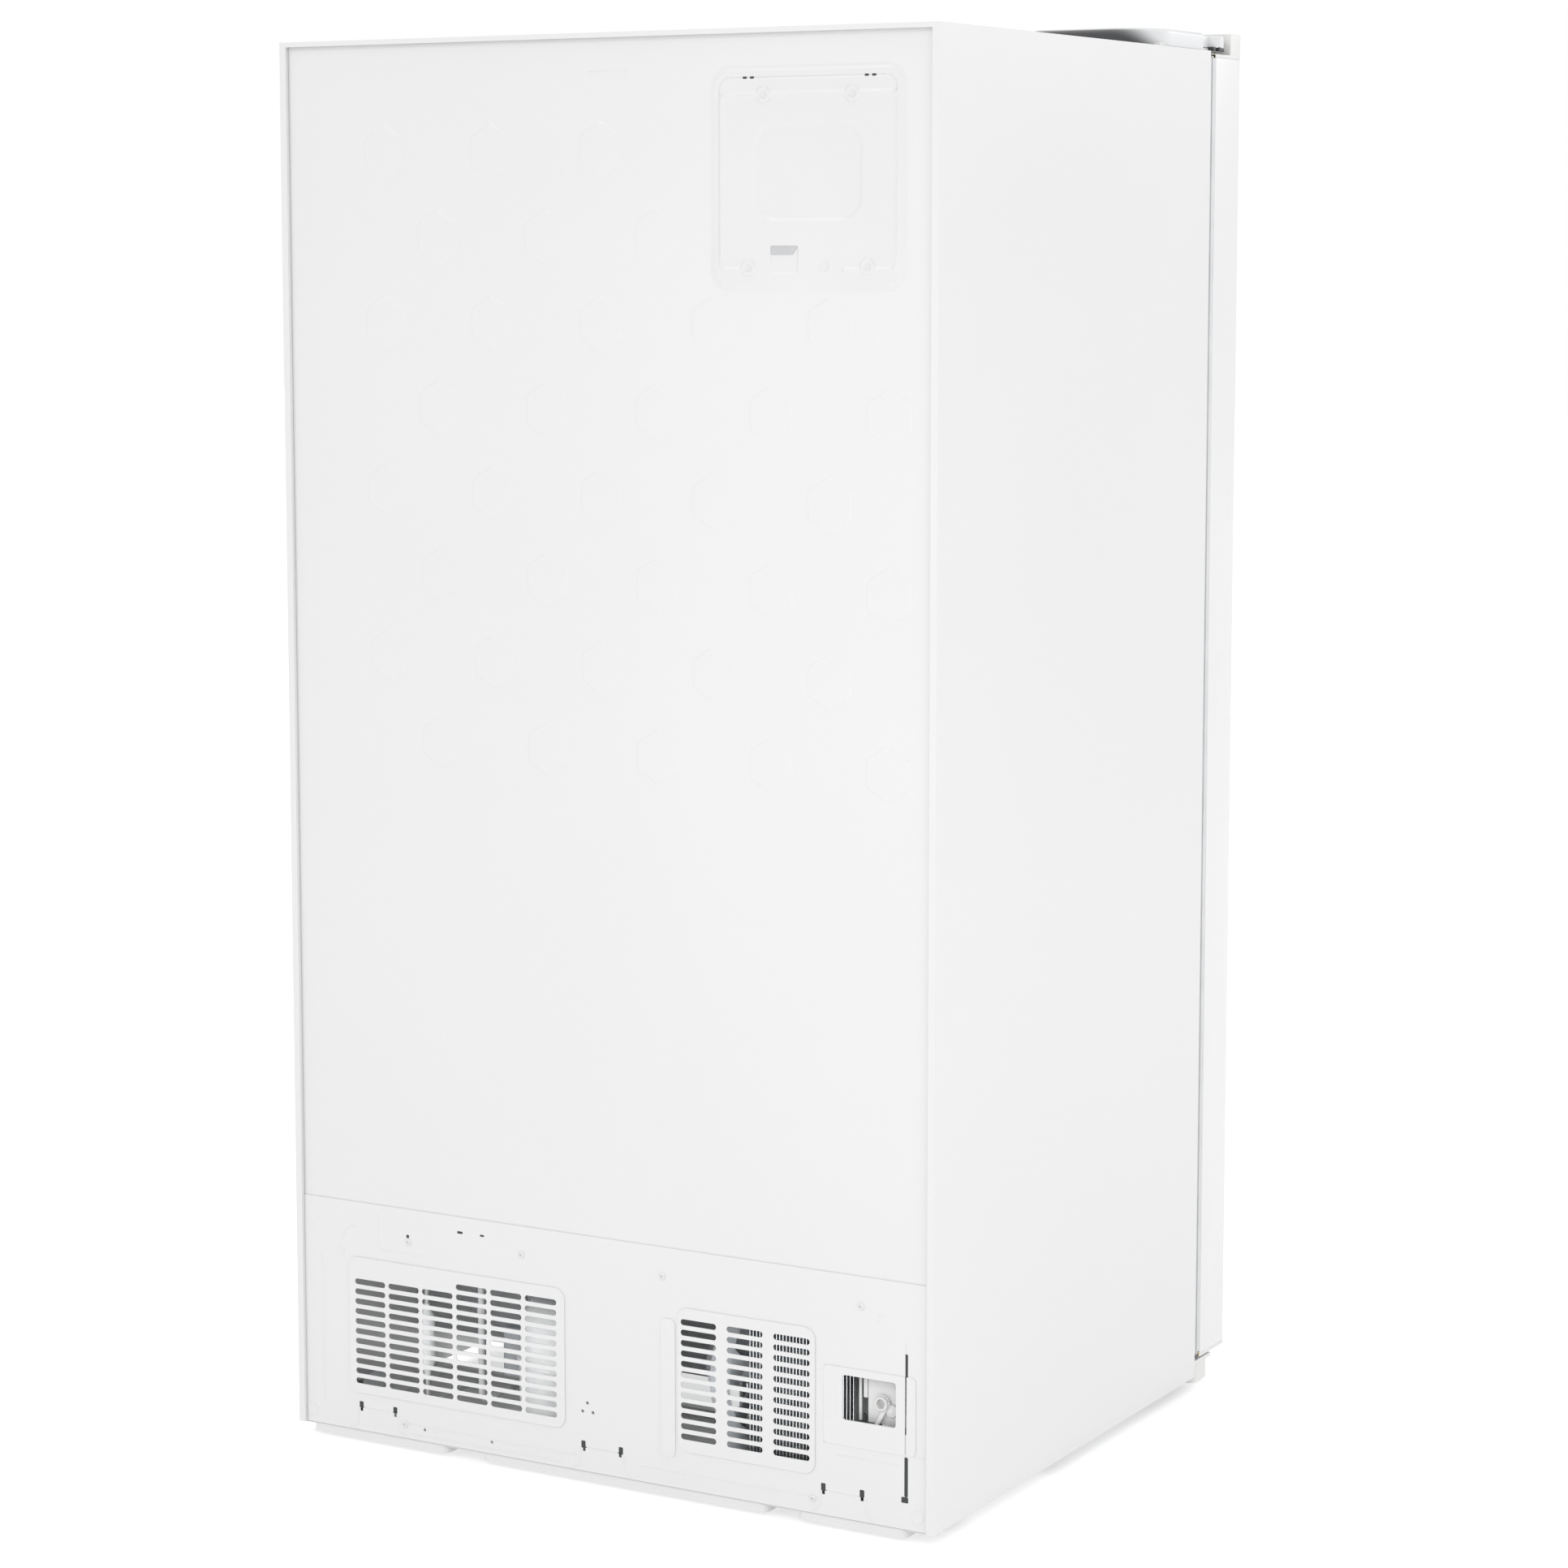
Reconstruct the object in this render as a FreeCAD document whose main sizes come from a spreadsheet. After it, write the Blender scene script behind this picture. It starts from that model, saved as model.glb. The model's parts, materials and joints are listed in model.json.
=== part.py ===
"""Side-by-side refrigerator with a ribbed, pressed back, as a parametric document.

Frame: +Z up, the doors face -Y, the freezer is on the -X side. The origin is the middle of the
footprint on the floor. All lengths are in millimetres. Every length below comes from the sheet
"dims", and a Size carries both the number and the formula that the objects are bound to.
"""
import FreeCAD, Part
import Sketcher
import math
import os

Vector = FreeCAD.Vector

DIMENSIONS = {
    # the steel case
    "case_width": 912.0, "case_height": 1736.0, "case_depth": 746.0, "floor_gap": 15.0,
    "sheet_wall": 1.0, "rear_flange": 9.0, "top_flange": 6.0, "panel_inset": 5.0, "panel_wall": 0.8,
    "fit_gap": 1.0,
    # the doors
    "door_gap": 12.0, "door_depth": 82.0, "door_floor": 38.5, "door_drop": 3.0, "lip_rise": 24.0,
    "lip_depth": 32.0, "door_split": 6.0, "freezer_door_width": 392.0, "handle_reach": 55.0,
    "handle_low": 620.0, "handle_length": 800.0, "handle_width": 24.0, "handle_bar": 18.0,
    "handle_offset": 40.0, "liner_flange": 4.0, "dyke_depth": 47.0, "dyke_wall": 20.0,
    "gasket_inset": 16.0, "gasket_width": 18.0, "gasket_clearance": 0.6,
    # the hinges
    "hinge_inset": 20.0, "hinge_setback": 26.0, "pin_radius": 6.0, "pin_clearance": 0.05,
    "hinge_plate": 4.0, "hinge_cover_height": 21.6, "hinge_cover_depth": 161.5,
    "hinge_cover_width": 170.0, "cover_wall": 2.0, "nose_radius": 19.5,
    # insulation and liners
    "side_foam": 56.0, "fridge_side_foam": 46.0, "top_foam": 48.0, "rear_foam": 50.0,
    "floor_foam": 55.0, "mullion": 58.0, "liner_wall": 2.0,
    # machine compartment
    "machine_depth": 260.0, "seam_level": 311.0, "deck_level": 72.0, "deck_wall": 1.2,
    "pan_drop": 11.0, "cover_inset": 4.0, "slot_pitch": 12.8, "slot_height": 7.4,
    "left_slot_length": 46.3, "left_slot_step": 51.2, "right_slot_length": 49.5,
    "right_slot_step": 64.1, "field_rise": 1.4, "inlet_x": -382.0, "inlet_level": 160.0,
    "inlet_radius": 10.0,
    # control board bay
    "board_low_drop": 297.0, "board_high_drop": 45.0, "board_right": 158.0, "board_left": 411.0,
    "board_depth": 42.0, "board_rise": 4.0, "cover_radius": 25.0,
    # hexagon pattern pressed into the back
    "hex_radius": 33.0, "hex_step": 154.5, "hex_row": 101.9, "hex_rise": 0.8, "hex_top_drop": 135.0,
    "hex_first": 304.0,
    # wheels and levelling legs
    "roller_radius": 22.0, "roller_width": 18.0, "axle_radius": 4.0, "leg_radius": 6.0,
    "leg_pad": 16.0, "leg_setback": 64.0, "roller_setback": 112.0, "roller_inset": 40.0,
    # fans
    "fan_radius": 72.0, "fan_tip_gap": 6.0, "fan_depth": 20.0, "motor_radius": 28.0,
    "shaft_radius": 3.0, "cold_fan_radius": 48.0,
    # cold compartments
    "shelf_thick": 12.0, "shelf_setback": 125.0, "drawer_setback": 118.0, "drawer_wall": 3.0,
    "bin_depth": 105.0, "bin_wall": 3.0, "side_slack": 4.0, "filter_radius": 27.0,
    # dispenser
    "niche_width": 180.0, "niche_drop": 741.0, "niche_height": 320.0, "niche_depth": 60.0,
    "bezel": 8.0, "panel_height": 150.0, "paddle_width": 60.0,
}

doc = FreeCAD.newDocument("side_by_side_refrigerator")


def make_sheet():
    """Write the driving sizes into the sheet, one named cell each."""
    table = doc.addObject("Spreadsheet::Sheet", "dims")
    for row, (alias, value) in enumerate(DIMENSIONS.items(), start=1):
        table.set(f"A{row}", alias)
        table.set(f"B{row}", str(value))
        table.setAlias(f"B{row}", alias)
    doc.recompute()
    return table


class Size:
    """A length that knows its number and the formula that a property is bound to."""

    def __init__(self, value, text):
        self.value = float(value)
        self.text = text

    def __add__(self, other):
        other = as_size(other)
        return Size(self.value + other.value, f"({self.text} + {other.text})")

    def __radd__(self, other):
        return as_size(other) + self

    def __sub__(self, other):
        other = as_size(other)
        return Size(self.value - other.value, f"({self.text} - {other.text})")

    def __rsub__(self, other):
        return as_size(other) - self

    def __mul__(self, factor):
        return Size(self.value * factor, f"({self.text} * {factor})")

    def __rmul__(self, factor):
        return self * factor

    def __truediv__(self, factor):
        return Size(self.value / factor, f"({self.text} / {factor})")

    def __neg__(self):
        return Size(-self.value, f"(0 - {self.text})")


def as_size(length):
    """A bare number as a Size, so that both can be mixed in a sum."""
    if isinstance(length, Size):
        return length
    return Size(length, f"({float(length)})")


sheet = make_sheet()


class Named:
    """The sheet's cells as attributes: d.case_width is a Size bound to that cell."""

    def __getattr__(self, alias):
        return Size(sheet.get(alias), f"dims.{alias}")


d = Named()


# ---------------------------------------------------------------- building blocks


def bind(obj, place, **lengths):
    """Bind an object's lengths and its place to formulas."""
    for name, length in lengths.items():
        obj.setExpression(name, as_size(length).text)
    for axis, length in zip("xyz", place):
        obj.setExpression(f"Placement.Base.{axis}", as_size(length).text)
    return obj


def block(x, y, z, name="block"):
    """Box between two x, two y and two z planes, each given low then high."""
    obj = doc.addObject("Part::Box", name)
    low = (x[0], y[0], z[0])
    spans = [as_size(high) - as_size(start) for start, high in (x, y, z)]
    return bind(obj, low, Length=spans[0], Width=spans[1], Height=spans[2])


TURNS = {
    "x": FreeCAD.Rotation(Vector(0, 1, 0), 90),
    "y": FreeCAD.Rotation(Vector(1, 0, 0), -90),
    "z": FreeCAD.Rotation(),
}


def rod(axis, start, length, radius, name="rod"):
    """Cylinder from a start point along +x, +y or +z."""
    obj = doc.addObject("Part::Cylinder", name)
    obj.Placement = FreeCAD.Placement(Vector(), TURNS[axis])
    return bind(obj, start, Radius=radius, Height=length)


def cut(base, tools, name="cut"):
    """The base with one or more tools taken away."""
    for tool in tools:
        result = doc.addObject("Part::Cut", name)
        result.Base = base
        result.Tool = tool
        base = result
    return base


def fuse(shapes, name="fuse"):
    """One solid from pieces that touch or overlap."""
    result = doc.addObject("Part::MultiFuse", name)
    result.Shapes = shapes
    return result


def group(shapes, name="group"):
    """Several separate solids kept together."""
    result = doc.addObject("Part::Compound", name)
    result.Links = shapes
    return result


def feature(shape, name="feature", placement=None):
    """A Part::Feature for a shape that no parametric primitive fits."""
    result = doc.addObject("Part::Feature", name)
    result.Shape = shape
    result.Placement = placement or FreeCAD.Placement()
    return result


def plain(*lengths):
    """The numbers of some sizes, for Part's own functions."""
    return [as_size(length).value for length in lengths]


BODY_TURNS = {
    "x": (FreeCAD.Rotation(Vector(1, 1, 1), 120), (1, 2, 0)),
    "y": (FreeCAD.Rotation(Vector(1, 1, 1), -120), (2, 0, 1)),
    "z": (FreeCAD.Rotation(), (0, 1, 2)),
}


def rounded(along, x, y, z, radius, name="pad"):
    """Block with its four edges along one axis rounded: a sketch, a pad and a fillet."""
    turn, order = BODY_TURNS[along]
    spans = [as_size(high) - as_size(start) for start, high in (x, y, z)]
    wide, deep, tall = (spans[index] for index in order)
    body = doc.addObject("PartDesign::Body", name)
    sketch = body.newObject("Sketcher::SketchObject", f"{name}_outline")
    plane = [item for item in body.Origin.OriginFeatures if item.Role == "XY_Plane"][0]
    sketch.AttachmentSupport = [(plane, "")]
    sketch.MapMode = "FlatFace"
    corners = [(0, 0), (wide.value, 0), (wide.value, deep.value), (0, deep.value)]
    for index, corner in enumerate(corners):
        after = corners[(index + 1) % 4]
        sketch.addGeometry(Part.LineSegment(Vector(*corner, 0), Vector(*after, 0)), False)
    rule = Sketcher.Constraint
    for index in range(4):
        sketch.addConstraint(rule("Coincident", index, 2, (index + 1) % 4, 1))
    sketch.addConstraint(rule("Coincident", 0, 1, -1, 1))
    for index, kind in enumerate(("Horizontal", "Vertical", "Horizontal", "Vertical")):
        sketch.addConstraint(rule(kind, index))
    for label, kind, line, length in (("wide", "DistanceX", 0, wide), ("deep", "DistanceY", 1, deep)):
        number = sketch.addConstraint(rule(kind, line, 1, line, 2, length.value))
        sketch.renameConstraint(number, label)
        sketch.setExpression(f"Constraints.{label}", length.text)
    pad = body.newObject("PartDesign::Pad", f"{name}_pad")
    pad.Profile = sketch
    pad.setExpression("Length", tall.text)
    doc.recompute()
    edges = []
    for number, edge in enumerate(pad.Shape.Edges, start=1):
        if abs(edge.tangentAt(edge.FirstParameter).z) > 0.9:
            edges.append(f"Edge{number}")
    fillet = body.newObject("PartDesign::Fillet", f"{name}_round")
    fillet.Base = (pad, edges)
    fillet.setExpression("Radius", as_size(radius).text)
    body.Placement = FreeCAD.Placement(Vector(), turn)
    return bind(body, (x[0], y[0], z[0]))


# room for the evaporator behind its cover, and the place of the water filter
COLD_WALL = 92
FILTER_INSET = 60
FILTER_START = 150
FILTER_LENGTH = 190

nodes = {}


def keep(name, obj):
    """Name a finished sub-part: its label is its node's name and its file's name."""
    obj.Label = name
    nodes[name] = obj
    return obj


def slots(left, tops, length, height, y_range):
    """Cutter for a column of slots with round ends, one for each top level."""
    y_low, y_high = y_range
    radius = height / 2
    shapes = []
    for top in tops:
        core = Part.makeBox(length - height, y_high - y_low, height,
                            Vector(left + radius, y_low, top - height))
        ends = [Part.makeCylinder(radius, y_high - y_low, Vector(x, y_low, top - radius), Vector(0, 1, 0))
                for x in (left + radius, left + length - radius)]
        shapes.append(core.fuse(ends).removeSplitter())
    return shapes


def tube(points, radius, bend):
    """Round tube along straight runs joined by tangent arcs."""
    points = [Vector(*plain(*point)) for point in points]
    edges = []
    start = points[0]
    for before, corner, after in zip(points, points[1:], points[2:]):
        arriving = (corner - before).normalize()
        leaving = (after - corner).normalize()
        half_turn = arriving.getAngle(leaving) / 2
        setback = bend * math.tan(half_turn)
        first = corner - arriving * setback
        last = corner + leaving * setback
        inward = (leaving - arriving).normalize()
        middle = corner + inward * (bend / math.cos(half_turn) - bend)
        edges.append(Part.LineSegment(start, first).toShape())
        edges.append(Part.Arc(first, middle, last).toShape())
        start = last
    edges.append(Part.LineSegment(start, points[-1]).toShape())
    path = Part.Wire(edges)
    ring = Part.Wire([Part.makeCircle(radius, points[0], points[1] - points[0])])
    return path.makePipeShell([ring], True, True)


# ---------------------------------------------------------------- shared planes

half = d.case_width / 2
rear = (d.case_depth + d.door_gap + d.door_depth + d.handle_reach) / 2
front = rear - d.case_depth
door_back = front - d.door_gap
door_front = door_back - d.door_depth
case_low = d.floor_gap
case_top = case_low + d.case_height
board_low = case_top - d.board_low_drop
board_high = case_top - d.board_high_drop
hex_top = case_top - d.hex_top_drop
door_top = case_top - d.door_drop
lip_top = case_top + d.lip_rise
inner = half - d.sheet_wall

freezer_edge = d.freezer_door_width - half
fridge_edge = freezer_edge + d.door_split
middle = (freezer_edge + fridge_edge) / 2

# the hollow of each compartment, inside its liner
freezer_x = (d.side_foam + d.liner_wall - half, middle - d.mullion / 2 - d.liner_wall)
fridge_x = (middle + d.mullion / 2 + d.liner_wall, half - d.fridge_side_foam - d.liner_wall)
cavity_top = case_top - d.top_foam - d.liner_wall
cavity_floor = d.deck_level + d.floor_foam + d.liner_wall
panel_face = rear - d.panel_inset
panel_back = panel_face - d.panel_wall
cavity_back = panel_back - d.rear_foam - d.liner_wall
machine_front = rear - d.machine_depth
step_front = machine_front - d.floor_foam - d.liner_wall
machine_top = d.seam_level + 10
step_floor = machine_top + d.floor_foam + d.liner_wall

pivot_x = half - d.hinge_inset
pivot_y = door_back - d.hinge_setback
SIDES = (("left", -1), ("right", 1))


def mirrored(sign, near, far):
    """An x range on the left (sign -1) or the right, from two distances off the middle plane."""
    near = as_size(near)
    far = as_size(far)
    return (-far, -near) if sign < 0 else (near, far)


def stepped(x, grow, open_front):
    """Compartment block with the raised floor at the back, grown outwards by a wall."""
    y_low = front - open_front
    low_x = as_size(x[0]) - grow
    high_x = as_size(x[1]) + grow
    top = cavity_top + grow
    whole = block((low_x, high_x), (y_low, step_front + grow), (cavity_floor - grow, top))
    upper = block((low_x, high_x), (step_front, cavity_back + grow), (step_floor - grow, top))
    return fuse([whole, upper], "compartment")


# ---------------------------------------------------------------- steel case


def make_case():
    """Wrapper of prepainted steel: sides, top, front face frame and folded rear flanges."""
    outside = block((-half, half), (front, rear), (case_low, case_top))
    hollow = block((-inner, inner), (front + d.sheet_wall, rear - d.sheet_wall),
                   (case_low - 5, case_top - d.sheet_wall))
    back = block((d.rear_flange - half, half - d.rear_flange), (rear - 20, rear + 5),
                 (case_low - 5, case_top - d.top_flange))
    openings = []
    for x in (freezer_x, fridge_x):
        openings.append(block((x[0] - d.liner_wall, x[1] + d.liner_wall), (front - 5, front + 10),
                              (cavity_floor - d.liner_wall, cavity_top + d.liner_wall)))
    toe = block((12 - half, half - 12), (front - 5, front + 10), (case_low - 5, d.deck_level))
    keep("cabinet_shell", cut(outside, [hollow, back, toe] + openings, "shell"))


def make_rear_panel():
    """Back sheet with the bay opening and the staggered rows of shallow hexagons."""
    edge = inner - d.fit_gap
    sheet_block = block((-edge, edge), (panel_back, panel_face),
                        (d.seam_level + d.fit_gap / 2, case_top - d.sheet_wall - d.fit_gap))
    bay = block((d.cover_wall - d.board_left, -d.board_right - d.cover_wall), (panel_back - 5, rear + 5),
                (board_low + d.cover_wall, board_high - d.cover_wall))
    pieces = [sheet_block]
    for row in range(8):
        for column in range(5):
            shift = column + 0.5 * (row % 2)
            x = d.hex_first - d.hex_step * shift
            z = hex_top - d.hex_row * row
            beside_bay = z.value > board_low.value - 40 and x.value < 60 - d.board_right.value
            if beside_bay:
                continue
            stamp = doc.addObject("Part::Prism", "hexagon")
            stamp.Polygon = 6
            turn = FreeCAD.Rotation(Vector(1, 0, 0), -90).multiply(FreeCAD.Rotation(Vector(0, 0, 1), 30))
            stamp.Placement = FreeCAD.Placement(Vector(), turn)
            pieces.append(bind(stamp, (x, panel_face, z), Circumradius=d.hex_radius, Height=d.hex_rise))
    keep("rear_panel", cut(fuse(pieces, "pressed_sheet"), [bay], "panel"))


# Each grille column: its left edge, its number of slots and the level of its top slot's upper edge.
LEFT_COLUMNS = 6
LEFT_FIRST = 65.5
LEFT_TOP = 225.2
LEFT_SHORT_FROM = 3
RIGHT_COLUMNS = 3
RIGHT_FIRST = -290.0
RIGHT_TOP = 226.4
ROWS = 12


def make_machine_cover():
    """Lower rear cover: two slotted fields, the valve window, side slits and hook tabs."""
    face = rear - d.cover_inset
    back = face - d.sheet_wall
    edge = half - d.rear_flange - d.fit_gap
    pieces = [block((-edge, edge), (back, face), (case_low + 1, d.seam_level - d.fit_gap / 2))]
    hollows = []
    for x, z in (((54, 377), (65, 240)), ((-297, -108), (63, 240))):
        pieces.append(rounded("y", x, (back, face + d.field_rise), z, 14, "field"))
        hollows.append(rounded("y", (x[0] + 2, x[1] - 2), (back - 1, back + d.field_rise),
                               (z[0] + 2, z[1] - 2), 12, "field_back"))
    pieces.append(rounded("y", (-431, -309), (back, face + 1), (105, 199), 6, "valve_plate"))
    pieces.append(rounded("y", (-104, -84), (back, face + 1.2), (53, 224), 8, "bead"))
    y_low, y_high, pitch, high = plain(back - 3, face + 5, d.slot_pitch, d.slot_height)
    cutters = []
    length, step = plain(d.left_slot_length, d.left_slot_step)
    for column in range(LEFT_COLUMNS):
        skipped = 1 if column >= LEFT_SHORT_FROM else 0
        tops = [LEFT_TOP - pitch * row for row in range(skipped, ROWS)]
        cutters += slots(LEFT_FIRST + step * column, tops, length, high, (y_low, y_high))
    length, step = plain(d.right_slot_length, d.right_slot_step)
    for column in range(RIGHT_COLUMNS):
        tops = [RIGHT_TOP - pitch * row for row in range(ROWS)]
        cutters += slots(RIGHT_FIRST + step * column, tops, length, high, (y_low, y_high))
    grille = feature(Part.makeCompound(cutters), "slots")
    window = rounded("y", (-405, -334), (back - 3, face + 5), (136, 190), 4, "window")
    slits = [block((x, x + 2), (back - 3, face + 5), (50, 238)) for x in (-419, 417)]
    tabs = []
    for x in (335, 1, -334):
        tabs.append(block((x - 28, x - 24), (back - 3, face + 5), (41, 52)))
        tabs.append(block((x + 24, x + 28), (back - 3, face + 5), (41, 52)))
        tabs.append(block((x - 25, x + 25), (back - 3, face + 5), (45.5, 47)))
    holes = [rod("y", (x, back - 3, z), 12, 2) for x, z in ((264, 31), (163, 31), (22, 102), (29, 91), (14, 91))]
    tools = hollows + [grille, window] + slits + tabs + holes
    keep("machine_cover", cut(fuse(pieces, "pressed_cover"), [group(tools, "cutters")], "cover"))


def make_board_bay():
    """Plastic tray in the foam, its circuit board, and the pressed cover over them."""
    left = -d.board_left
    right = -d.board_right
    wall = d.cover_wall
    tray_back = panel_back - d.board_depth
    tray = block((left, right), (tray_back, panel_back), (board_low, board_high))
    room = block((left + wall, right - wall), (tray_back + wall, panel_back + 5),
                 (board_low + wall, board_high - wall))
    keep("board_tray", cut(tray, [room], "tray"))

    board_face = tray_back + wall + 6
    posts = [rod("y", (x, tray_back + wall, z), 6, 3)
             for x in (left + 20, right - 20) for z in (board_low + 20, board_high - 20)]
    card = block((left + 12, right - 12), (board_face, board_face + 1.6), (board_low + 12, board_high - 12))
    top_face = board_face + 1.6
    parts = posts + [card]
    parts.append(block((left + 30, left + 78), (top_face, top_face + 24), (board_low + 40, board_low + 84)))
    for index in range(4):
        low = board_high - 60 - index * 24
        parts.append(block((right - 60, right - 36), (top_face, top_face + 15), (low, low + 18)))
    for index in range(3):
        parts.append(rod("y", (left + 50, top_face, board_high - 40 - index * 26), 22, 9))
    for index in range(4):
        low_x = left + 92 + index * 30
        parts.append(block((low_x, low_x + 24), (top_face, top_face + 9), (board_low + 20, board_low + 30)))
    parts.append(block((left + 100, left + 134), (top_face, top_face + 3), (board_low + 110, board_low + 144)))
    keep("control_board", fuse(parts, "board"))

    outer_face = panel_face + d.board_rise
    grow = 2
    shell = rounded("y", (left - grow, right + grow), (panel_face, outer_face),
                    (board_low - grow, board_high + grow), d.cover_radius, "plate")
    under = rounded("y", (left + 2, right - 2), (panel_face - 1, panel_face + d.board_rise / 2),
                    (board_low + 2, board_high - 2), d.cover_radius - 3, "under")
    centre_x = (left + right) / 2
    dish = rounded("y", (centre_x - 73, centre_x + 73), (outer_face - 1, outer_face + 4),
                   (board_low + 76, board_low + 190), 30, "dish")
    scoop = rounded("y", (centre_x + 8, centre_x + 50), (outer_face - 1.4, outer_face + 4),
                    (board_low + 16, board_low + 51), 5, "scoop")
    bosses = []
    for x, z in ((-228, 1675), (-344, 1674), (-208, 1478), (-363, 1480)):
        bosses.append(rod("y", (x, outer_face - 0.6, z), 3, 3))
    keep("board_cover", cut(shell, [under, dish, scoop] + bosses, "cover"))


def make_bottom():
    """Deck under the insulation, stepped over the machine space, and the ribbed base pan."""
    wall = d.deck_wall
    level = d.deck_level
    low = block((-inner, inner), (front + d.sheet_wall, machine_front), (level, level + wall))
    riser = block((-inner, inner), (machine_front - wall, machine_front), (level, machine_top))
    high = block((-inner, inner), (machine_front - wall, panel_back), (machine_top - wall, machine_top))
    keep("machine_deck", fuse([low, riser, high], "deck"))

    base = case_low
    pan_back = rear - d.cover_inset - d.sheet_wall - d.fit_gap
    pieces = [block((-inner, inner), (machine_front - 60, pan_back), (base - wall, base))]
    hollows = []
    floor = base - d.pan_drop
    for x in ((233, 439), (-229, 179), (-417, -271)):
        pieces.append(rounded("z", x, (machine_front - 40, pan_back), (floor, base - wall / 2), 9, "bulge"))
        hollows.append(rounded("z", (x[0] + wall, x[1] - wall), (machine_front - 40 + wall, pan_back - wall),
                               (floor + wall, base + 5), 8, "bulge_room"))
    for _, sign in SIDES:
        near = half - d.roller_inset - d.roller_width / 2 - 8
        far = half - d.roller_inset + d.roller_width / 2 + 8
        hollows.append(block(mirrored(sign, near, far), (rear - 115, rear - 50), (-5, base + 5)))
    keep("base_pan", cut(fuse(pieces, "pan"), hollows, "base"))


def make_insulation():
    """Foam between the case and the two liners, one piece with two pockets."""
    top = case_top - d.sheet_wall
    body = block((-inner, inner), (front + d.sheet_wall, panel_back), (d.deck_level + d.deck_wall, top))
    machine = block((-half, half), (machine_front - d.deck_wall, rear + 5), (0, machine_top))
    bay = block((-d.board_left, -d.board_right), (panel_back - d.board_depth, panel_back + 5),
                (board_low, board_high))
    pockets = [stepped(x, d.liner_wall, as_size(5)) for x in (freezer_x, fridge_x)]
    keep("cabinet_foam", cut(body, [machine, bay] + pockets, "foam"))


def make_liner(name, x, ledges):
    """Moulded liner of one compartment, open at the front, with shelf ledges on its walls."""
    shell = cut(stepped(x, d.liner_wall, as_size(0)), [stepped(x, as_size(0), as_size(5))], "liner")
    pieces = [shell]
    for level, back in ledges:
        y = (front + d.shelf_setback + 20, back)
        pieces.append(block((x[0] - 1, x[0] + 7), y, (level - 7, level - 1)))
        pieces.append(block((x[1] - 7, x[1] + 1), y, (level - 7, level - 1)))
    if name == "fridge_liner":
        socket_x = x[1] - FILTER_INSET
        socket_y = front + FILTER_START + FILTER_LENGTH + 1
        pieces.append(block((socket_x - 32, socket_x + 32), (socket_y, socket_y + 34),
                            (cavity_top - d.filter_radius * 2 - 18, cavity_top + 1)))
    keep(name, fuse(pieces, name))


# ---------------------------------------------------------------- machine compartment


def make_compressor():
    """Welded steel pot on a foot plate, with its terminal box, stubs and rubber mounts."""
    x, y = 115, rear - 130
    foot = case_low + 18
    plate = rounded("z", (x - 100, x + 100), (y - 62, y + 62), (foot, foot + 3), 18, "foot_plate")
    pot_low = foot + 2
    drum = Part.makeCylinder(76, 160)
    rims = [edge for edge in drum.Edges if isinstance(edge.Curve, Part.Circle)]
    pot = feature(drum.makeFillet(34, rims), "pot", FreeCAD.Placement(Vector(*plain(x, y, pot_low)),
                                                                      FreeCAD.Rotation()))
    seam = rod("z", (x, y, pot_low + 82), 6, 79, "seam")
    box = rounded("z", (x + 60, x + 98), (y - 28, y + 28), (pot_low + 48, pot_low + 112), 6, "terminal_box")
    stubs = [rod("z", (x - 30, y + 30, pot_low + 130), 45, 4), rod("z", (x - 40, y - 30, pot_low + 130), 45, 4)]
    keep("compressor", fuse([plate, pot, seam, box] + stubs, "compressor"))
    mounts = []
    for side_x in (x - 82, x + 82):
        for side_y in (y - 44, y + 44):
            mounts.append(rod("z", (side_x, side_y, case_low), 18, 11, "mount"))
    keep("compressor_mounts", group(mounts, "mounts"))


def make_condenser():
    """Finned tube block that the fan draws air through."""
    x_low, x_high = -320, -172
    y_low, y_high = rear - 205, rear - 60
    fins = []
    count = 15
    step = (x_high - x_low - 4) / (count - 1)
    for index in range(count):
        x = x_low + 2 + step * index
        fins.append(block((x - 0.5, x + 0.5), (y_low, y_high), (48, 212), "fin"))
    rows = []
    for row in range(6):
        for column in range(3):
            rows.append(rod("x", (x_low, y_low + 25 + column * 48, 62 + row * 27), x_high - x_low, 4, "pass"))
    keep("condenser", fuse(fins + rows, "condenser"))


def ring(axis, centre, low, length, outer, inside, name="ring"):
    """Hollow cylinder along one axis."""
    start = {"x": (low, centre[1], centre[2]), "y": (centre[0], low, centre[2])}[axis]
    return cut(rod(axis, start, length, outer, name), [rod(axis, start, length, inside, name)], name)


def rotor(name, direction, start, depth, hub, tip, count, pitch):
    """Fan rotor: flat vanes turned by their pitch, trimmed to a disc and joined to a bored hub."""
    depth, hub, tip = plain(depth, hub, tip)
    trim = Part.makeCylinder(tip, depth, Vector(0, 0, 0), Vector(0, 0, 1))
    vanes = []
    for index in range(count):
        vane = Part.makeBox(tip, tip * 0.75, 2.2, Vector(hub - 2, -tip * 0.375, -1.1))
        vane.rotate(Vector(), Vector(1, 0, 0), pitch)
        vane.translate(Vector(0, 0, depth / 2))
        vane.rotate(Vector(), Vector(0, 0, 1), 360.0 * index / count)
        vanes.append(vane.common(trim))
    hub_shape = Part.makeCylinder(hub, depth).cut(Part.makeCylinder(d.shaft_radius.value + 0.05, depth))
    wheel = hub_shape.fuse([vane.cut(Part.makeCylinder(hub - 1, depth)) for vane in vanes])
    turn = FreeCAD.Rotation(Vector(0, 0, 1), direction)
    return keep(name, feature(wheel, name, FreeCAD.Placement(Vector(*plain(*start)), turn)))


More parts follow.
